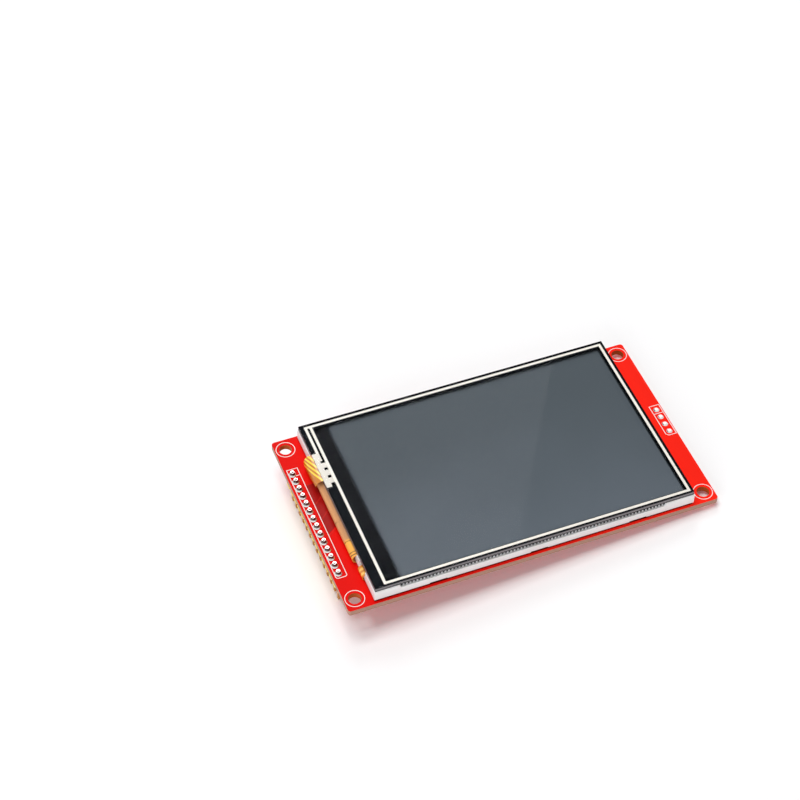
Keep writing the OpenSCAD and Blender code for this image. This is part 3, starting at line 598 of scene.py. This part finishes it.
@dataclass(frozen=True)
class PaleFloor(Finish):
    """Plain matt white table top, which can be looked through from below.

    To the camera it is a little whiter than lit, as the background; the shadow stays.
    Away from the module it passes into plain white.
    """

    colour: str = "#ffffff"
    lift: float = 0.05
    near: float = 170.0
    far: float = 420.0

    def shader(self, add: Adder) -> Node:
        """White with a hardly visible unevenness on its upper side, clear from below."""
        spot = add("TexCoord").outputs["Object"]
        cloud = add("TexNoise", {"Vector": spot, "Scale": per_mm(60)})
        rough = add("MapRange", (cloud, 0.0, 1.0, 0.85, 0.95))
        matt = add("BsdfPrincipled", {"Base Color": self.colour, "Roughness": rough,
            "Specular IOR Level": 0.0})
        white = add("Emission", {"Color": self.colour, "Strength": 1.0})
        away = add("VectorMath LENGTH", (spot,))
        fade = add("MapRange", (away.outputs["Value"], self.near * MM, self.far * MM, self.lift, 1.0),
            interpolation_type="SMOOTHSTEP")
        seen = add("Math MULTIPLY", (add("LightPath").outputs["Is Camera Ray"], fade))
        top = add("MixShader", (seen, matt, white))
        clear = add("BsdfTransparent")
        under = add("NewGeometry").outputs["Backfacing"]
        return add("MixShader", (under, top, clear))


COPPER = CoatedCopper("solder mask over copper")
# painted shadow of the display's tails on the mask beside the header, drawn darker red
TAIL_SHADOW = CoatedCopper("solder mask in painted tail shadow", "#a8120f", "#9a100e")
CLEARANCE = CoatedCopper("solder mask over a clearance line", "#cf261c", "#c41f17")
SILK = ScreenInk("white legend ink", "#fbf8f5", "#f1ece8", 0.6, 0.2)
STAMP = ScreenInk("dark stamp ink", "#3a2422", "#4a2c28", 0.6, 0.2)
# steep paints shade on the steep sides of the joints
TIN = Metalwork("hot-air tin solder", "#efeeec", "#d6d4d2", 0.7, 0.15, 0.32, 0.3, 0.2, steep="#55504e")

FINISHES: dict[str, Finish] = {
    "board": SolderMask("solder mask on laminate"),
    "header_plastic": Moulded("yellow header nylon", "#f6e064", "#efd04c", 3.0, 0.12, 0.38, 0.5, 0.15,
        0.1),
    "pin_gold": Metalwork("gold-plated square pin", "#e0ae62", "#c88f4a", 1.5, 0.18, 0.34, 0.06, 0.2,
        Grain.ALONG_Z, tinned_z=1.6),
    "solder": TIN,
    "foam_tape": Moulded("white foam tape", "#e9e7e3", "#dcd9d4", 2.0, 0.3, 0.75, 0.9, 0.5, 0.0, 0.2),
    "white_plastic": Moulded("white polycarbonate frame", "#f7f6f6", "#efeeed", 9.0, 0.2, 0.42, 0.56,
        0.08, 0.1),
    "reflector": Moulded("white reflector film", "#f0f0ee", "#e8e8e6", 12.0, 0.3, 0.3, 0.4, 0.05),
    "clear_acrylic": ClearSheet("clear acrylic light guide", "#f2f6f6", 1.49, 0.05),
    "lamp": Moulded("lamp body with phosphor", "#f2e6a0", "#ece2b4", 1.0, 0.1, 0.4, 0.5, 0.1),
    "amber_strip": FlexStrip("amber polyimide strip", "#c87812", "#ffdd3a", 2.3, 0.48, -57.4, 4, 1.8,
        "#cec8bc", -41.95),
    "diffuser": Moulded("matt diffuser film", "#eceeee", "#e2e5e6", 15.0, 0.1, 0.6, 0.75, 0.2),
    "prism_film": ClearSheet("prism film", "#e6eaec", 1.5, 0.25),
    "polariser": PolariserFilm("grey polariser film"),
    "cell_glass": CellGlass("display cell glass"),
    "silicon": Metalwork("polished silicon die", "#6a6d75", "#5a5d66", 2.0, 0.12, 0.2),
    "black_tape": ScreenInk("black light-shield tape", "#030507", "#07090d", 0.6, 0.3, gloss=0.02),
    "brown_strip": FoldedFilm("brown coverlay film"),
    "touch_glass": ClearSheet("touch panel glass", "#f4f6f8", 1.02, 0.02, ground="#979295"),
    "black_ink": ScreenInk("black border ink", "#0a0d11", "#10141a", 0.5, 0.25, gloss=0.02),
    "silver_ink": ScreenInk("printed silver conductor", "#efebe1", "#e2ddd3", 0.42, 0.12, 0.1, 0.5),
    "clear_film": ClearSheet("clear hard-coated film", "#ffffff", 1.065, 0.015, ground="#15171a",
        chipped="#0c0e11"),
    "socket_steel": Metalwork("dark stainless sheet", "#575356", "#464346", 7.0, 0.34, 0.46, 0.1, 0.2,
        Grain.ALONG_X, steep="#c8c2c0"),
    "socket_plastic": Moulded("black socket polymer", "#1c1b1b", "#262423", 2.0, 0.1, 0.4, 0.55),
    "contact_gold": Metalwork("gold-plated contact", "#d8b06a", "#b99356", 1.0, 0.15, 0.3),
    "resistor_black": Moulded("black resistor glaze", "#1d1c1c", "#2a2827", 0.6, 0.08, 0.25, 0.4),
    "capacitor_tan": Moulded("tan capacitor ceramic", "#b48a66", "#a67c58", 0.8, 0.08, 0.4, 0.6),
    "mould_black": Moulded("black moulding compound", "#232222", "#2e2c2c", 0.8, 0.06, 0.45, 0.6, 0.3),
    "lead_tin": Metalwork("tinned lead", "#cfcdca", "#b1aeab", 0.6, 0.22, 0.4),
}
OWN_FINISH: dict[str, Finish] = {
    "backlight_strip": FlexStrip("amber lamp strip", "#e08a26", "#ffc55a", 1.3, 0.5, -20.5, 2),
}


def dress_frame() -> None:
    """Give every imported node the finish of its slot, without touching its shape."""
    for name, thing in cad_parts.items():
        finish = OWN_FINISH.get(name, FINISHES[thing.data.materials[0].name])
        for place in thing.material_slots:
            place.link = "OBJECT"
            place.material = finish.material()
        log.info("node %s: %s", name, finish.title)


# ---- mesh tools ----


def deselect() -> None:
    """Leave object mode with nothing selected, because the loaded nodes start selected."""
    if bpy.context.object is not None and bpy.context.object.mode != "OBJECT":
        bpy.ops.object.mode_set(mode="OBJECT")
    bpy.ops.object.select_all(action="DESELECT")


def pick(keep: Callable[[Vector], bool]) -> None:
    """Select the vertices of the mesh in edit mode whose place passes a test.

    Args:
        keep: test of a vertex's place in metres.
    """
    bpy.ops.mesh.select_all(action="DESELECT")
    mesh = bmesh.from_edit_mesh(bpy.context.object.data)
    for vert in mesh.verts:
        vert.select_set(bool(keep(vert.co)))
    mesh.select_flush(True)
    bmesh.update_edit_mesh(bpy.context.object.data)


def give(piece: Piece, finish: Finish) -> Piece:
    """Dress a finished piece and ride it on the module.

    Args:
        piece: the finished object, at the origin.
        finish: its finish.

    Returns:
        The same object.
    """
    piece.data.materials.clear()
    piece.data.materials.append(finish.material())
    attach(piece, "root")
    log.info("piece %s: %d faces, %s", piece.name, len(piece.data.polygons), finish.title)
    return piece


class Face(Enum):
    """A face of the board, with the way that it looks along Z."""

    FRONT = 1
    BACK = -1


@dataclass
class FlatWork:
    """Thin work on a board face, drawn stroke by stroke into one mesh.

    Lengths are in millimetres. Each stroke starts as a plane whose end edge is
    extruded from point to point; the whole gets its thickness at the end.
    """

    name: str
    face: Face
    level: float
    height: float = 0.03
    sink: float = 0.01

    def start(self) -> None:
        """Open an empty mesh in edit mode."""
        deselect()
        bpy.ops.mesh.primitive_plane_add(size=MM)
        bpy.context.object.name = bpy.context.object.data.name = self.name
        bpy.ops.object.mode_set(mode="EDIT")
        bpy.ops.mesh.select_mode(type="VERT")
        bpy.ops.mesh.delete(type="VERT")

    def stroke(self, points: Sequence[Point], width: float) -> None:
        """Draw a line of one width with mitred corners.

        Args:
            points: corners of the line.
            width: width of the line.
        """
        path = [Vector((x * MM, y * MM, 0.0)) for x, y in points]
        run = path[1] - path[0]
        heading = math.atan2(run.y, run.x)
        middle = (path[0] + path[1]) / 2
        bpy.ops.mesh.primitive_plane_add(size=1, location=(0, 0, 0))
        bpy.ops.transform.resize(value=(run.length, width * MM, 1), center_override=(0, 0, 0))
        bpy.ops.transform.rotate(value=-heading, orient_axis="Z", center_override=(0, 0, 0))
        bpy.ops.transform.translate(value=middle)
        along = run.normalized()
        goal = path[1]
        mesh = bmesh.from_edit_mesh(bpy.context.object.data)
        for vert in mesh.verts:
            if vert.select:
                vert.select_set((vert.co - goal).dot(along) > -run.length / 2)
        mesh.select_flush(False)
        bmesh.update_edit_mesh(bpy.context.object.data)
        for i in range(1, len(path) - 1):
            step = path[i + 1] - path[i]
            turn = math.atan2(step.y, step.x) - heading
            turn = math.atan2(math.sin(turn), math.cos(turn))
            self.swing(turn / 2, path[i], 1 / math.cos(turn / 2))
            bpy.ops.mesh.extrude_region_move(TRANSFORM_OT_translate={"value": step})
            self.swing(turn / 2, path[i + 1], math.cos(turn / 2))
            heading += turn

    def swing(self, angle: float, centre: Vector, grow: float) -> None:
        """Turn and stretch the end edge about a corner of the line.

        Args:
            angle: turn in radians, counter-clockwise.
            centre: the corner.
            grow: factor on the edge's length.
        """
        # without a window the operator turns the other way
        bpy.ops.transform.rotate(value=-angle, orient_axis="Z", center_override=centre)
        bpy.ops.transform.resize(value=(grow, grow, 1), center_override=centre)

    def loop(self, corners: Sequence[Point], width: float) -> None:
        """Draw a closed line that starts and ends in the middle of its first side.

        Args:
            corners: corners of the closed line, in order.
            width: width of the line.
        """
        (ax, ay), (bx, by) = corners[0], corners[1]
        middle = ((ax + bx) / 2, (ay + by) / 2)
        self.stroke([middle, *corners[1:], corners[0], middle], width)

    def box(self, x: float, y: float, length: float, height: float, width: float) -> None:
        """Draw the outline of a rectangle about a middle, length along X and height along Y."""
        a, b = length / 2, height / 2
        self.loop([(x - a, y - b), (x + a, y - b), (x + a, y + b), (x - a, y + b)], width)

    def ring(self, x: float, y: float, across: float, width: float) -> None:
        """Draw a ring of an outer diameter.

        Args:
            x: middle along X.
            y: middle along Y.
            across: outer diameter.
            width: width of the line.
        """
        centre = Vector((x * MM, y * MM, 0))
        inner = (across - 2 * width) / across
        bpy.ops.mesh.primitive_circle_add(vertices=64, radius=across / 2 * MM, location=centre)
        bpy.ops.mesh.extrude_region_move()
        bpy.ops.transform.resize(value=(inner, inner, 1), center_override=centre)

    def plate(self, x: float, y: float, length: float, width: float, rounding: float = 0.0) -> None:
        """Draw a filled rectangle, with rounded corners if asked.

        Args:
            x: middle along X.
            y: middle along Y.
            length: size along X.
            width: size along Y.
            rounding: corner radius.
        """
        bpy.ops.mesh.primitive_plane_add(size=1, location=(0, 0, 0))
        bpy.ops.transform.resize(value=(length * MM, width * MM, 1), center_override=(0, 0, 0))
        bpy.ops.transform.translate(value=(x * MM, y * MM, 0))
        if rounding:
            bpy.ops.mesh.bevel(offset=rounding * MM, segments=4, affect="VERTICES")

    def cut(self, start: Point, end: Point) -> None:
        """Cut the shape just drawn along a line and drop what lies to its left.

        Args:
            start: first point of the line.
            end: second point of the line.
        """
        run = Vector((end[0] - start[0], end[1] - start[1], 0)).normalized()
        bpy.ops.mesh.bisect(plane_co=(start[0] * MM, start[1] * MM, 0), plane_no=(-run.y, run.x, 0),
            clear_outer=True)

    def finish(self, finish: Finish, slot: str) -> Piece:
        """Close the seams, give the work its height and hand it over.

        Args:
            finish: its finish.
            slot: not used.

        Returns:
            The finished piece.
        """
        base = (self.level - self.face.value * self.sink) * MM
        bpy.ops.mesh.select_all(action="SELECT")
        bpy.ops.mesh.remove_doubles(threshold=0.002 * MM)
        bpy.ops.mesh.normals_make_consistent(inside=False)
        piece = bpy.context.object
        mesh = bmesh.from_edit_mesh(piece.data)
        for face in mesh.faces:
            if face.normal.z < 0:
                face.normal_flip()
        bmesh.update_edit_mesh(piece.data)
        bpy.ops.transform.translate(value=(0, 0, base))
        bpy.ops.object.mode_set(mode="OBJECT")
        wall = piece.modifiers.new("height", "SOLIDIFY")
        wall.thickness = (self.height + self.sink) * MM
        wall.offset = float(self.face.value)
        bpy.ops.object.modifier_apply(modifier=wall.name)
        return give(piece, finish)


def box_mm(name: str) -> tuple[Vector, Vector]:
    """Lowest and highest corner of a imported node, in millimetres."""
    low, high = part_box(name)
    return low / MM, high / MM


def middle_x(name: str) -> float:
    """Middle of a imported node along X, in millimetres."""
    low, high = box_mm(name)
    return (low.x + high.x) / 2


def arc(x: float, y: float, radius: float, first: float, last: float, steps: int = 5) -> list[Point]:
    """Points on an arc.

    Args:
        x: centre along X.
        y: centre along Y.
        radius: radius of the arc.
        first: first angle in degrees.
        last: last angle in degrees.
        steps: number of straight parts.

    Returns:
        The points, first to last.
    """
    turns = [math.radians(first + (last - first) * i / steps) for i in range(steps + 1)]
    return [(x + radius * math.cos(a), y + radius * math.sin(a)) for a in turns]


# ---- sub-assemblies ----


@dataclass
class BoardFront:
    """White legend and copper seen through the mask on the display side."""

    line: float = 0.18
    ring_across: float = 4.95
    ring_line: float = 0.17
    hole_in: Point = (2.75, 3.27)
    # left, right, foot and top; left and right are counted from the row of pins or holes
    header_box: Box = (-0.95, 1.85, -17.9, 18.25)
    port_box: Box = (-1.35, 1.35, -5.1, 5.3)
    corner: float = 0.6
    header_split: float = 15.9
    port_split: float = 2.55
    # core marks where the painted tail shadow lies, counted from the row of pins
    core: Point = (1.98, 5.0)
    shadow_height: float = 18.0
    clearance: float = 0.16

    def build(self) -> None:
        """Draw the legend, then the dark field of painted shadow and the copper beside the header."""
        low, high = box_mm("circuit_board")
        row, port = middle_x("header_pins"), middle_x("port_solder")
        legend = FlatWork("front_legend", Face.FRONT, high.z, 0.02)
        legend.start()
        for x in (low.x + self.hole_in[0], high.x - self.hole_in[0]):
            for y in (low.y + self.hole_in[1], high.y - self.hole_in[1]):
                legend.ring(x, y, self.ring_across, self.ring_line)
        bend = self.corner
        left, right, foot, top = self.header_box
        left, right = row + left, row + right
        legend.loop([(left, top), *arc(left + bend, foot + bend, bend, 180, 270),
                     *arc(right - bend, foot + bend, bend, 270, 360), (right, top)], self.line)
        legend.stroke([(left, self.header_split), (right, self.header_split)], self.line)
        left, right, foot, top = self.port_box
        left, right = port + left, port + right
        legend.loop([(left, top), (left, foot + bend), (left + bend, foot), (right, foot),
                     (right, top)], self.line)
        legend.stroke([(left, self.port_split), (right, self.port_split)], self.line)
        legend.finish(SILK, "board")
        self.copper(row, high.z)

    def copper(self, row: float, level: float) -> None:
        """Draw the darker field beside the header, a painted shadow of the display's tails, and its
        clearance lines.

        Args:
            row: place of the pin row along X.
            level: height of the board's front face.
        """
        left, right = row + self.core[0], row + self.core[1]
        bare = FlatWork("front_tail_shadow", Face.FRONT, level, 0.006)
        bare.start()
        bare.plate((left + right) / 2, 3.0, right - left, self.shadow_height)
        # the diagonal end follows the edge of the painted shadow
        bare.cut((right, -2.4), (left, -4.45))
        bare.finish(TAIL_SHADOW, "board")
        # the clearance lines are real, drawn darker than the open mask because they lie in the painted
        # shadow
        lines = FlatWork("front_traces", Face.FRONT, level, 0.012)
        lines.start()
        for start, end in (((left, 12.25), (right, 12.25)), ((left, -5.0), (right, -2.85)),
                           ((left - 0.1, 5.35), (right, 7.9)), ((left, 0.4), (right, 3.3))):
            lines.stroke([start, end], self.clearance)
        lines.finish(CLEARANCE, "board")


@dataclass
class BoardBack:
    """Legend, copper, bare pads and solder on the component side."""

    line: float = 0.16
    wire: float = 0.36
    thin_wire: float = 0.3
    fine_wire: float = 0.24
    pin_wire: float = 0.22
    chip_box: Point = (1.7, 3.2)
    chip_pad: Point = (0.95, 1.0)
    chip_end: float = 0.8
    chip_fillet: Triple = (0.5, 0.78, 0.3)
    thick_fillet: Triple = (0.5, 0.78, 0.5)
    resistors: Sequence[Triple] = ((7.7, -0.5, 90), (10.0, -0.5, 90), (12.3, -0.5, 90),
        (-32.5, 10.4, 0), (-34.6, -13.0, 90), (-28.4, -12.9, 90))
    capacitors: Sequence[Triple] = ((-32.6, 7.6, 0), (-29.7, 5.0, 90))
    large: Triple = (-34.1, -7.0, 0)
    large_box: Point = (5.0, 2.5)
    large_pad: Point = (1.3, 1.8)
    large_end: float = 1.6
    large_fillet: Triple = (0.5, 1.5, 0.7)
    driver: Point = (-30.9, -2.6)
    driver_box: Point = (2.2, 5.4)
    driver_pad: Point = (1.5, 0.36)
    driver_pitch: float = 0.65
    driver_pads: int = 8
    foot_pad: Point = (1.15, 1.9)
    shell_pad: Point = (2.0, 2.5)
    stamp: Point = (-5.6, -7.9)
    stamp_across: float = 8.5
    ports: Sequence[float] = (3.81, 1.27, -1.27, -3.81)

    def build(self) -> None:
        """Draw the back face work in order: legend, copper, pads, solder."""
        self.legend()
        self.copper()
        self.pads()
        self.fillets()

    def legend(self) -> None:
        """Draw white boxes round the small parts, the socket and the two rows."""
        level = box_mm("circuit_board")[0].z
        ink = FlatWork("back_legend", Face.BACK, level, 0.02)
        ink.start()
        for x, y, turn in (*self.resistors, *self.capacitors):
            long, short = self.chip_box[1], self.chip_box[0]
            size = (short, long) if turn else (long, short)
            ink.box(x, y, *size, self.line)
        ink.box(*self.large[:2], *self.large_box, self.line)
        ink.box(*self.driver, *self.driver_box, self.line)
        ink.ring(self.driver[0] - 1.7, self.driver[1] + 3.2, 0.5, 0.12)
        shell = box_mm("socket_shell")
        x0, x1 = shell[0].x - 1.0, shell[1].x + 1.0
        y0, y1 = shell[0].y - 2.6, shell[1].y + 0.8
        ink.loop([(x0, y0), (x1 - 3.0, y0), (x1 - 3.0, shell[0].y + 5.0), (x1, shell[0].y + 7.4),
            (x1, y1), (x0, y1)], self.line)
        row = middle_x("header_pins")
        ink.box(row, 0.15, 2.9, 36.4, self.line)
        port = middle_x("port_solder")
        ink.box(port, 0.1, 2.7, 10.4, self.line)
        ink.stroke([(port - 1.35, 2.55), (port + 1.35, 2.55)], self.line)
        ink.stroke([(-41.6, -5.6), (-40.3, -6.7), (-40.1, -8.2), (-40.2, -12.7), (-40.6, -14.0),
            (-41.4, -15.0)], self.line)
        ink.finish(SILK, "board")
        stamp = FlatWork("check_stamp", Face.BACK, level, 0.012)
        stamp.start()
        stamp.ring(*self.stamp, self.stamp_across, 0.32)
        stamp.stroke([(-6.57, -3.76), (-4.63, -12.04)], 0.28)
        stamp.finish(STAMP, "board")

    def feet(self) -> list[float]:
        """Middle of each socket contact's foot along X, read from the contacts' mesh."""
        low = box_mm("socket_contacts")[0]
        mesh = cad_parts["socket_contacts"].data
        found = sorted({round(v.co.x / MM, 2) for v in mesh.vertices if v.co.y / MM < low.y + 0.05})
        pairs: list[list[float]] = []
        for x in found:
            if pairs and x - pairs[-1][0] < 1.0:
                pairs[-1].append(x)
            else:
                pairs.append([x])
        return [sum(group) / len(group) for group in pairs]

    def copper(self) -> None:
        """Draw the traces between socket, resistors, port, driver pads and header."""
        level = box_mm("circuit_board")[0].z
        wire = FlatWork("back_traces", Face.BACK, level, 0.022)
        wire.start()
        port = middle_x("port_solder")
        feet = [x for x in self.feet() if x > 4.0]
        chips = [x for x, y, _ in self.resistors if -1 < y < 0 and x > 0]
        for x, foot in zip(chips, feet[1:4]):
            bend = [(foot, 3.6), (x, 3.6 - abs(x - foot))] if abs(x - foot) > 0.1 else []
            wire.stroke([(foot, 5.0), *bend, (x if bend else foot, 0.6)], self.wire)
        for x, y in zip(chips, self.ports[:0:-1]):
            turn = -2.6 - (chips[-1] - x) * 0.55
            wire.stroke([(x, -1.6), (x, turn), (x + 1.2, turn - 1.2), (port - 6.2, turn - 1.2),
                (port - 6.2 + abs(y - turn + 1.2) / 2, y), (port, y)], self.wire)
        far = feet[-1]
        wire.stroke([(far, 5.0), (far, 3.0), (far + 1.6, 1.4), (port - 4.6, 1.4),
            (port - 2.2, self.ports[0]), (port, self.ports[0])], self.wire)
        dx, dy = self.driver
        row = middle_x("header_pins")
        for i in range(self.driver_pads):
            y = dy + (i - 3.5) * self.driver_pitch
            turn = dx + 15.0 - 0.6 * i
            wire.stroke([(dx + 3.0, y), (turn - 1.5, y), (turn, y + 1.5), (turn, 18.0 - 0.7 * i)],
                        self.fine_wire)
        for i in range(5):
            y = dy + (i - 2) * self.driver_pitch
            pin = (i - 1.5) * PITCH - PITCH
            bend = row + 6.5 - 0.7 * i
            wire.stroke([(dx - 3.0, y), (bend + 1.2, y), (bend, pin + math.copysign(0.8, y - pin)),
                (bend - 0.8, pin), (row, pin)], self.pin_wire)
        # two lines run round the small parts, one joins two pins and two cross to the bundle
        for i in range(2):
            y, far = (6.5 - i) * PITCH, row + 10.4 - 1.4 * i
            wire.stroke([(row, y), (far - 2.6, y), (far, y - 2.6), (far, 4.0 + i),
                (far + 1.6, 2.4 + i)], self.thin_wire)
            wire.stroke([(-28.4, 4.7 - 0.9 * i), (dx + 10.3, 4.7 - 0.9 * i)], self.thin_wire)
        wire.stroke([(row, 11.43), (row + 2.8, 11.43), (row + 4.2, 10.0), (row + 4.2, 7.75),
            (row + 2.8, 6.35), (row, 6.35)], self.thin_wire)
        wire.finish(COPPER, "board")

    def pads(self) -> None:
        """Draw tinned pads for the driver, the small parts and the contact feet."""
        level = box_mm("circuit_board")[0].z
        tin = FlatWork("bare_pads", Face.BACK, level, 0.03)
        tin.start()
        dx, dy = self.driver
        for side in (-1, 1):
            for i in range(self.driver_pads):
                y = dy + (i - 3.5) * self.driver_pitch
                tin.plate(dx + side * 2.55, y, *self.driver_pad, 0.05)
        for x, y, turn in (*self.resistors, *self.capacitors):
            for side in (-1, 1):
                shift = side * 0.95
                size = self.chip_pad if turn == 0 else self.chip_pad[::-1]
                tin.plate(x + (0 if turn else shift), y + (shift if turn else 0), *size, 0.08)
        for side in (-1, 1):
            tin.plate(self.large[0] + side * self.large_end, self.large[1], *self.large_pad, 0.1)
        foot_y = box_mm("socket_contacts")[0].y + 0.35
        for x in self.feet():
            tin.plate(x, foot_y, *self.foot_pad, 0.08)
        low, high = box_mm("socket_shell")
        for x, y in ((low.x + 0.3, low.y + 2.75), (low.x + 0.3, high.y - 2.75),
                     (high.x - 0.3, high.y - 2.75), (high.x - 2.6, low.y + 2.75)):
            tin.plate(x, y, *self.shell_pad, 0.15)
        tin.finish(TIN, "solder")

    def wedge(self, length: float, width: float, height: float) -> Piece:
        """Model one solder fillet, high at X 0 and running out towards +X.

        Args:
            length: reach along X.
            width: size along Y.
            height: height at the part, towards -Z.

        Returns:
            The fillet, with its high end at the origin.
        """
        deselect()
        length, width, height = length * MM, width * MM, height * MM
        bpy.ops.mesh.primitive_cube_add(size=1, scale=(length, width, height))
        bpy.ops.object.mode_set(mode="EDIT")
        bpy.ops.transform.translate(value=(length / 2, 0, -height / 2))
        pick(lambda p: p.x > length * 0.5 and p.z < -height * 0.5)
        bpy.ops.transform.translate(value=(0, 0, height * 0.86))
        bpy.ops.mesh.select_all(action="SELECT")
        bpy.ops.mesh.subdivide(number_cuts=3)
        # sag the slope, as molten solder does
        for share in (0.25, 0.5, 0.75):
            pick(lambda p, s=share: abs(p.x - length * s) < 0.02 * MM
                 and p.z < -height * (1 - s) * 0.8)
            bpy.ops.transform.translate(value=(0, 0, height * 0.16))
        bpy.ops.mesh.select_all(action="SELECT")
        bpy.ops.mesh.normals_make_consistent(inside=False)
        bpy.ops.object.mode_set(mode="OBJECT")
        return bpy.context.object

    def fillets(self) -> None:
        """Set a solder fillet at each end of every chip and join them."""
        ends = [(chip, self.chip_end, self.chip_fillet) for chip in self.resistors]
        ends += [(chip, self.chip_end, self.thick_fillet) for chip in self.capacitors]
        ends.append((self.large, self.large_end, self.large_fillet))
        made = []
        for (x, y, turn), half, size in [end for end in ends for _ in range(2)]:
            turn += 180 * (len(made) % 2)
            part = self.wedge(*size)
            angle = math.radians(turn)
            place = Vector((x + half * math.cos(angle), y + half * math.sin(angle), 0)) * MM
            part.matrix_world = Matrix.Translation(place) @ Matrix.Rotation(angle, 4, "Z")
            made.append(part)
        deselect()
        for part in made:
            part.select_set(True)
        bpy.context.view_layer.objects.active = made[0]
        bpy.ops.object.transform_apply(location=True, rotation=True, scale=True)
        bpy.ops.object.join()
        piece = bpy.context.object
        piece.name = piece.data.name = "chip_fillets"
        bpy.ops.object.shade_smooth_by_angle(angle=math.radians(50))
        give(piece, TIN)


# ---- studio ----


@dataclass(frozen=True)
class Lamp:
    """A square soft light that looks at the module; edge is the way two sides run."""

    name: str
    place: Triple
    size: float
    power: float
    edge: Triple

    def build(self) -> None:
        """Hang the light."""
        data = bpy.data.lights.new(self.name, "AREA")
        data.shape, data.size, data.energy = "SQUARE", self.size, self.power
        stand(data, self.place, Vector(self.place), self.edge)


def stand(data: bpy.types.ID, place: Triple, back: Vector, up: Triple) -> Piece:
    """Stand a lamp or a camera at a place.

    Args:
        data: the lamp's or the camera's data.
        place: its place in metres.
        back: the way its back looks.
        up: the way its upper side looks.

    Returns:
        The new object.
    """
    made = bpy.data.objects.new(data.name, data)
    bpy.context.scene.collection.objects.link(made)
    back = back.normalized()
    side = Vector(up).normalized().cross(back).normalized()
    turn = Matrix((side, back.cross(side), back)).transposed().to_4x4()
    made.matrix_world = Matrix.Translation(place) @ turn
    return made


@dataclass
class Studio:
    """Pale table, soft light and the camera.

    The lamp overhead gives the shadow, a soft box behind the module is mirrored
    in the screen up to its own straight edge, and a low lamp fills the sides.
    """

    world_level: float = 0.26
    lamps: tuple[Lamp, ...] = (Lamp("top_light", (-0.25, 0.15, 1.2), 0.6, 9.0, (0.0, 1.0, 0.0)),
        Lamp("soft_box", (0.1713, 0.8296, 0.9139), 0.5, 3.14, (-0.4342, -0.625, 0.6487)),
        Lamp("low_light", (-0.95, -0.85, 0.35), 0.8, 6.6, (0.0, 0.0, 1.0)))
    table: float = 6.0
    eye: Triple = (-0.15116, -0.30987, 0.41139)
    ahead: Triple = (0.25096, 0.61834, -0.74477)
    upward: Triple = (0.26418, 0.69643, 0.66723)
    lens: float = 96.02

    def build(self) -> None:
        """Set the table, the world, the lamps and the camera."""
        self.floor()
        self.world()
        for lamp in self.lamps:
            lamp.build()
        self.camera()
        bpy.context.scene.view_settings.view_transform = "Standard"

    def floor(self) -> None:
        """Lay a table that carries the module on its pin tips and its card socket."""
        pins, socket = box_mm("header_pins"), box_mm("socket_shell")
        pin_x = middle_x("header_pins")
        rise = (socket[0].z - pins[0].z) / (socket[1].x - pin_x)
        at_zero = pins[0].z - rise * pin_x
        deselect()
        bpy.ops.mesh.primitive_plane_add(size=self.table, location=(0, 0, (at_zero - 0.02) * MM),
            rotation=(0, -math.atan(rise), 0))
        table = bpy.context.object
        table.name = "table"
        bpy.ops.object.transform_apply(location=True, rotation=True, scale=True)
        table.data.materials.append(PaleFloor("matt white table").material())
        table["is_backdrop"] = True
        log.info("table: rises %.2f degrees towards the card port", math.degrees(math.atan(rise)))

    def world(self) -> None:
        """Light evenly from all round; camera and mirrors see plain white."""
        world = bpy.data.worlds.new("soft room")
        bpy.context.scene.world = world
        world.use_nodes = True
        world.node_tree.nodes.clear()
        add = partial(node, world.node_tree)
        path = add("LightPath")
        mirror = add("Math MAXIMUM", (path.outputs["Is Glossy Ray"], path.outputs["Is Transmission Ray"]))
        seen = add("Math MAXIMUM", (path.outputs["Is Camera Ray"], mirror))
        room = add("Background", {"Color": "#fdfcff", "Strength": self.world_level})
        white = add("Background", {"Color": "#ffffff", "Strength": 1.0})
        both = add("MixShader", (seen, room, white))
        add("OutputWorld", {"Surface": both})

    def camera(self) -> None:
        """Stand the camera in front, above and to the left of the module."""
        data = bpy.data.cameras.new("camera")
        data.lens, data.sensor_width = self.lens, 36.0
        bpy.context.scene.camera = stand(data, self.eye, -Vector(self.ahead), self.upward)


def corners() -> list[list[float]]:
    """Lowest and highest corner of the shown object, as plain lists."""
    return [list(corner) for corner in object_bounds()]


def main() -> None:
    """Dress the frame, add the pieces and set the studio, in order."""
    logging.basicConfig(level=logging.INFO, format="%(message)s")
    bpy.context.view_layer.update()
    dress_frame()
    BoardFront().build()
    BoardBack().build()
    Studio().build()
    deselect()


if __name__ == "__main__":
    main()
